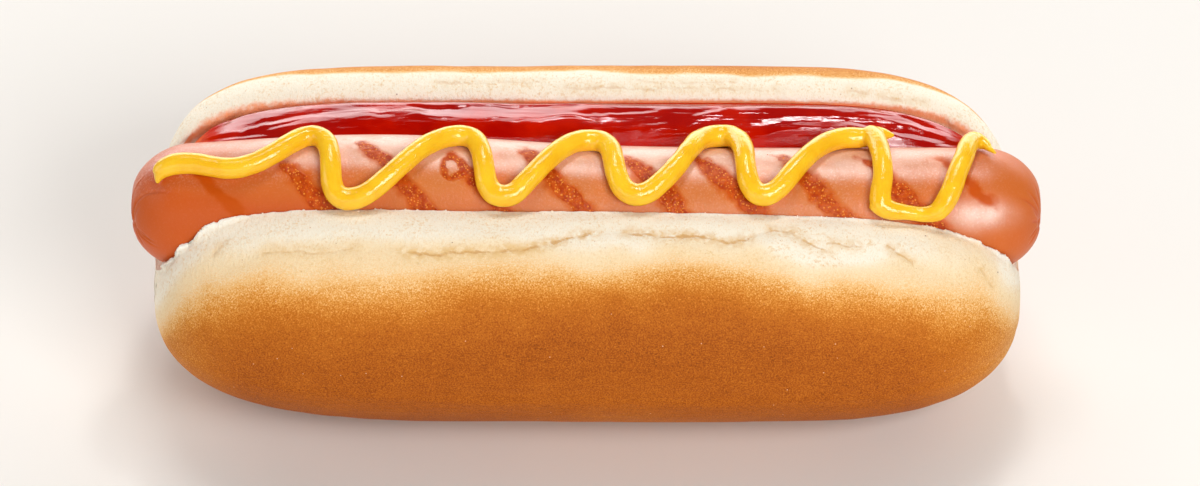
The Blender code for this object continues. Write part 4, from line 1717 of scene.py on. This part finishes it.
    def _melt(self, mesh: bpy.types.Mesh) -> bpy.types.Mesh:
        """Joins the strands into one skin, rounds it off and keeps it off the sausage.

        Args:
            mesh: the tubes.

        Returns:
            The finished mesh.
        """
        tubes = bpy.data.objects.new("mustard_tubes", mesh)
        bpy.context.scene.collection.objects.link(tubes)
        remesh = tubes.modifiers.new("join", "REMESH")
        remesh.mode = "VOXEL"
        remesh.voxel_size = self.fineness
        smooth = tubes.modifiers.new("round", "SMOOTH")
        smooth.factor = 0.5
        smooth.iterations = 6
        graph = bpy.context.evaluated_depsgraph_get()
        skin = bpy.data.meshes.new_from_object(tubes.evaluated_get(graph))
        bpy.data.objects.remove(tubes)
        bpy.data.meshes.remove(mesh)
        skin.name = "yellow_mustard"
        points = np.empty(len(skin.vertices) * 3)
        normals = np.empty(len(skin.vertices) * 3)
        skin.vertices.foreach_get("co", points)
        skin.vertices.foreach_get("normal", normals)
        points, normals = points.reshape(-1, 3), normals.reshape(-1, 3)
        lumps = Unevenness((0.0030,) * 3, 81).at(points) + 0.5 * Unevenness((0.0012,) * 3, 82).at(points)
        points = points + normals * (self.lumps * lumps)[:, None]
        past = np.maximum(np.abs(points[:, 0]) - (self.sausage.length / 2 - self.sausage.radius), 0)
        clear = np.sqrt(np.maximum((self.sausage.radius + self.touch) ** 2 - past**2, 0))
        across, up = points[:, 1], points[:, 2] - self.axis.height_at(points[:, 0])
        distance = np.hypot(across, up)
        outward = np.maximum(clear / distance, 1)
        points[:, 1] = across * outward
        points[:, 2] = np.minimum(self.axis.height_at(points[:, 0]) + up * outward, self.top)
        skin.vertices.foreach_set("co", points.reshape(-1))
        skin.shade_smooth()
        return skin


# ---------------------------------------------------------------------------------------------------------
# What lies on them


@dataclass
class Scatter:
    """Small lumps that are strewn over a piece where an attribute of it is high.

    Attributes:
        name: what the lumps are called.
        attribute: the attribute whose value sets how dense they are.
        density: how many lie on a square metre where it is 1.
        smallest: the radius of the smallest lump.
        largest: the radius of the largest lump.
        flatness: how high a lump is for its width.
        seed: which scatter it is.
    """

    name: str
    attribute: str
    density: float
    smallest: float
    largest: float
    flatness: float
    seed: int

    def build(self, piece: bpy.types.Object, material: bpy.types.Material) -> bpy.types.Mesh:
        """The lumps as one mesh.

        Args:
            piece: the piece that they lie on.
            material: their material.

        Returns:
            The mesh.
        """
        tree = GeometryTree(self.name)
        density = tree.size("Density", self.density)
        smallest = tree.size("Smallest Radius", self.smallest)
        largest = tree.size("Largest Radius", self.largest)
        flatness = tree.size("Flatness", self.flatness)
        dressing = tree.size("Material", material)
        strength = tree.add("GeometryNodeInputNamedAttribute", {"data_type": "FLOAT"}, {"Name": self.attribute})
        spread = tree.add("ShaderNodeMath", {"operation": "MULTIPLY"}, {0: strength.outputs[0], 1: density})
        strewn = tree.add("GeometryNodeDistributePointsOnFaces", None, {
            "Mesh": tree.start.outputs[0], "Density": spread.outputs[0], "Seed": self.seed,
        })
        lump = tree.add("GeometryNodeMeshIcoSphere", None, {"Radius": 1.0, "Subdivisions": 2})
        shape = tree.add("GeometryNodeSetShadeSmooth", None, {0: lump.outputs["Mesh"]})
        girth = tree.add("FunctionNodeRandomValue", {"data_type": "FLOAT"}, {
            2: smallest, 3: largest, "Seed": self.seed,
        })
        longer = tree.add("FunctionNodeRandomValue", {"data_type": "FLOAT"}, {2: 0.7, 3: 1.4, "Seed": self.seed + 1})
        long_side = tree.add("ShaderNodeMath", {"operation": "MULTIPLY"},
                             {0: girth.outputs[1], 1: longer.outputs[1]})
        low_side = tree.add("ShaderNodeMath", {"operation": "MULTIPLY"}, {0: girth.outputs[1], 1: flatness})
        scale = tree.add("ShaderNodeCombineXYZ", None, {
            0: long_side.outputs[0], 1: girth.outputs[1], 2: low_side.outputs[0],
        })
        placed = tree.add("GeometryNodeInstanceOnPoints", None, {
            "Points": strewn.outputs["Points"], "Instance": shape.outputs[0],
            "Rotation": strewn.outputs["Rotation"], "Scale": scale.outputs[0],
        })
        copy = bpy.data.objects.new(self.name, piece.data.copy())
        mesh = tree.apply(self.name, copy, placed.outputs["Instances"], dressing)
        return self._roughen(mesh)

    def _roughen(self, mesh: bpy.types.Mesh) -> bpy.types.Mesh:
        """Makes each lump a little uneven."""
        points = np.empty(len(mesh.vertices) * 3)
        mesh.vertices.foreach_get("co", points)
        points = points.reshape(-1, 3)
        size = self.largest * 1.2
        bend = [Unevenness((size,) * 3, self.seed + 10 + k).at(points) for k in range(3)]
        points = points + np.stack(bend, axis=-1) * self.smallest * 0.45
        mesh.vertices.foreach_set("co", points.reshape(-1))
        return mesh


# ---------------------------------------------------------------------------------------------------------
# The studio


@dataclass(frozen=True)
class SoftBox:
    """A flat, soft light aimed at the hot dog.

    Attributes:
        name: what it is called.
        azimuth: where it stands, in degrees: 0 in front, 90 at the right, 180 behind.
        elevation: how high it stands, in degrees.
        distance: how far off it stands.
        width: how wide it is.
        height: how high it is.
        power: how bright it is, in watts.
        colour: its colour.
    """

    name: str
    azimuth: float
    elevation: float
    distance: float
    width: float
    height: float
    power: float
    colour: Colour = (1.0, 1.0, 1.0)

    def add(self, aim: Vector) -> None:
        """Puts the light in the scene, turned to a point."""
        lamp = bpy.data.lights.new(self.name, "AREA")
        lamp.shape = "RECTANGLE"
        lamp.size, lamp.size_y = self.width, self.height
        lamp.energy = self.power
        lamp.color = self.colour
        light = bpy.data.objects.new(self.name, lamp)
        turn, rise = math.radians(self.azimuth), math.radians(self.elevation)
        away = Vector((math.sin(turn) * math.cos(rise), -math.cos(turn) * math.cos(rise), math.sin(rise)))
        light.location = aim + away * self.distance
        light.rotation_euler = away.to_track_quat("Z", "Y").to_euler()
        bpy.context.scene.collection.objects.link(light)


@dataclass
class Studio:
    """A pale floor, soft lights and the camera."""

    aim_past_centre: tuple = (0.00245, -0.0057, 0.0062)
    elevation: float = 40.0
    distance: float = 0.907
    lens: float = 150.0
    floor_size: float = 6.0
    surroundings: Colour = (0.92, 0.93, 0.95)
    surroundings_strength: float = 0.08
    lights: tuple = (
        SoftBox("back_panel", 180.0, 17.0, 0.9, 1.9, 0.55, 13.2),
        SoftBox("top_softbox", 180.0, 76.0, 1.0, 0.44, 0.24, 2.6),
        SoftBox("spark", 164.0, 66.0, 1.0, 0.11, 0.08, 1.1),
        SoftBox("right_softbox", 28.0, 37.0, 0.7, 0.36, 0.26, 3.2),
        SoftBox("left_softbox", -82.0, 24.0, 0.9, 0.5, 0.4, 1.2),
        SoftBox("front_fill", -22.0, 14.0, 1.1, 1.7, 0.5, 3.6),
    )

    def build(self, low: Vector, high: Vector) -> None:
        """Sets the floor, the lights, the world and the camera round the object's box.

        Args:
            low: the box's lowest corner.
            high: the box's highest corner.
        """
        centre = (low + high) / 2
        bm = bmesh.new()
        bmesh.ops.create_grid(bm, x_segments=1, y_segments=1, size=self.floor_size / 2)
        bmesh.ops.translate(bm, verts=bm.verts, vec=(0, 0, low.z - 0.0001))
        mesh = bpy.data.meshes.new("studio_floor")
        bm.to_mesh(mesh)
        bm.free()
        add_piece(mesh, FloorFinish().make())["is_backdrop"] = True
        for light in self.lights:
            light.add(centre)
        world = bpy.data.worlds.new("studio_air")
        world.use_nodes = True
        background = world.node_tree.nodes["Background"]
        background.inputs["Color"].default_value = (*self.surroundings, 1.0)
        background.inputs["Strength"].default_value = self.surroundings_strength
        bpy.context.scene.world = world
        bpy.context.scene.view_settings.view_transform = "Standard"
        camera = bpy.data.objects.new("camera", bpy.data.cameras.new("camera"))
        camera.data.lens = self.lens
        rise = math.radians(self.elevation)
        away = Vector((0, -math.cos(rise), math.sin(rise)))
        camera.location = centre + Vector(self.aim_past_centre) + away * self.distance
        camera.rotation_euler = away.to_track_quat("Z", "Y").to_euler()
        bpy.context.scene.collection.objects.link(camera)
        bpy.context.scene.camera = camera


def settle(piece: bpy.types.Object, slot: str, *nodes: str) -> None:
    """Hands a finished piece to the frame and reports it.

    Args:
        piece: the piece, in place.
        slot: a material slot of the record; not used.
        nodes: the solids that it stands for.
    """
    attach(piece, BODY)
    if nodes:
        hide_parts(*nodes)
    LOG.info("%s: %d faces", piece.name, len(piece.data.polygons))


def main() -> None:
    """Builds the pieces in order, from the bread outwards, and the studio round them."""
    logging.basicConfig(level=logging.INFO, format="%(name)s: %(message)s")
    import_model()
    solid_low, solid_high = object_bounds()
    axis = Axis()
    bun = Bun(axis)
    sausage = Sausage(axis)
    bread = add_piece(bun.build(), BreadFinish().make())
    settle(bread, "bun_bread", "bun")
    skin = add_piece(sausage.build(), SkinFinish().make())
    settle(skin, "sausage_skin", "sausage")
    settle(add_piece(Ketchup(axis, bun).build(), KetchupFinish().make()), "ketchup_sauce", "ketchup")
    mustard = MustardFinish().make()
    settle(add_piece(Mustard(axis, sausage).build(mustard), mustard), "mustard_sauce", "mustard")
    blister = BlisterFinish().make()
    bubbles = Scatter("grill_blisters", "blister", 0.9e6, 0.00006, 0.00015, 0.40, 3)
    settle(add_piece(bubbles.build(skin, blister), blister), "sausage_skin")
    crumb = CrumbFinish().make()
    crumbs = Scatter("bread_crumbs", "crumbly", 3.0e6, 0.00008, 0.00024, 0.7, 7)
    settle(add_piece(crumbs.build(bread, crumb), crumb), "bun_bread")
    Studio().build(Vector(solid_low), Vector(solid_high))


if __name__ == "__main__":
    main()
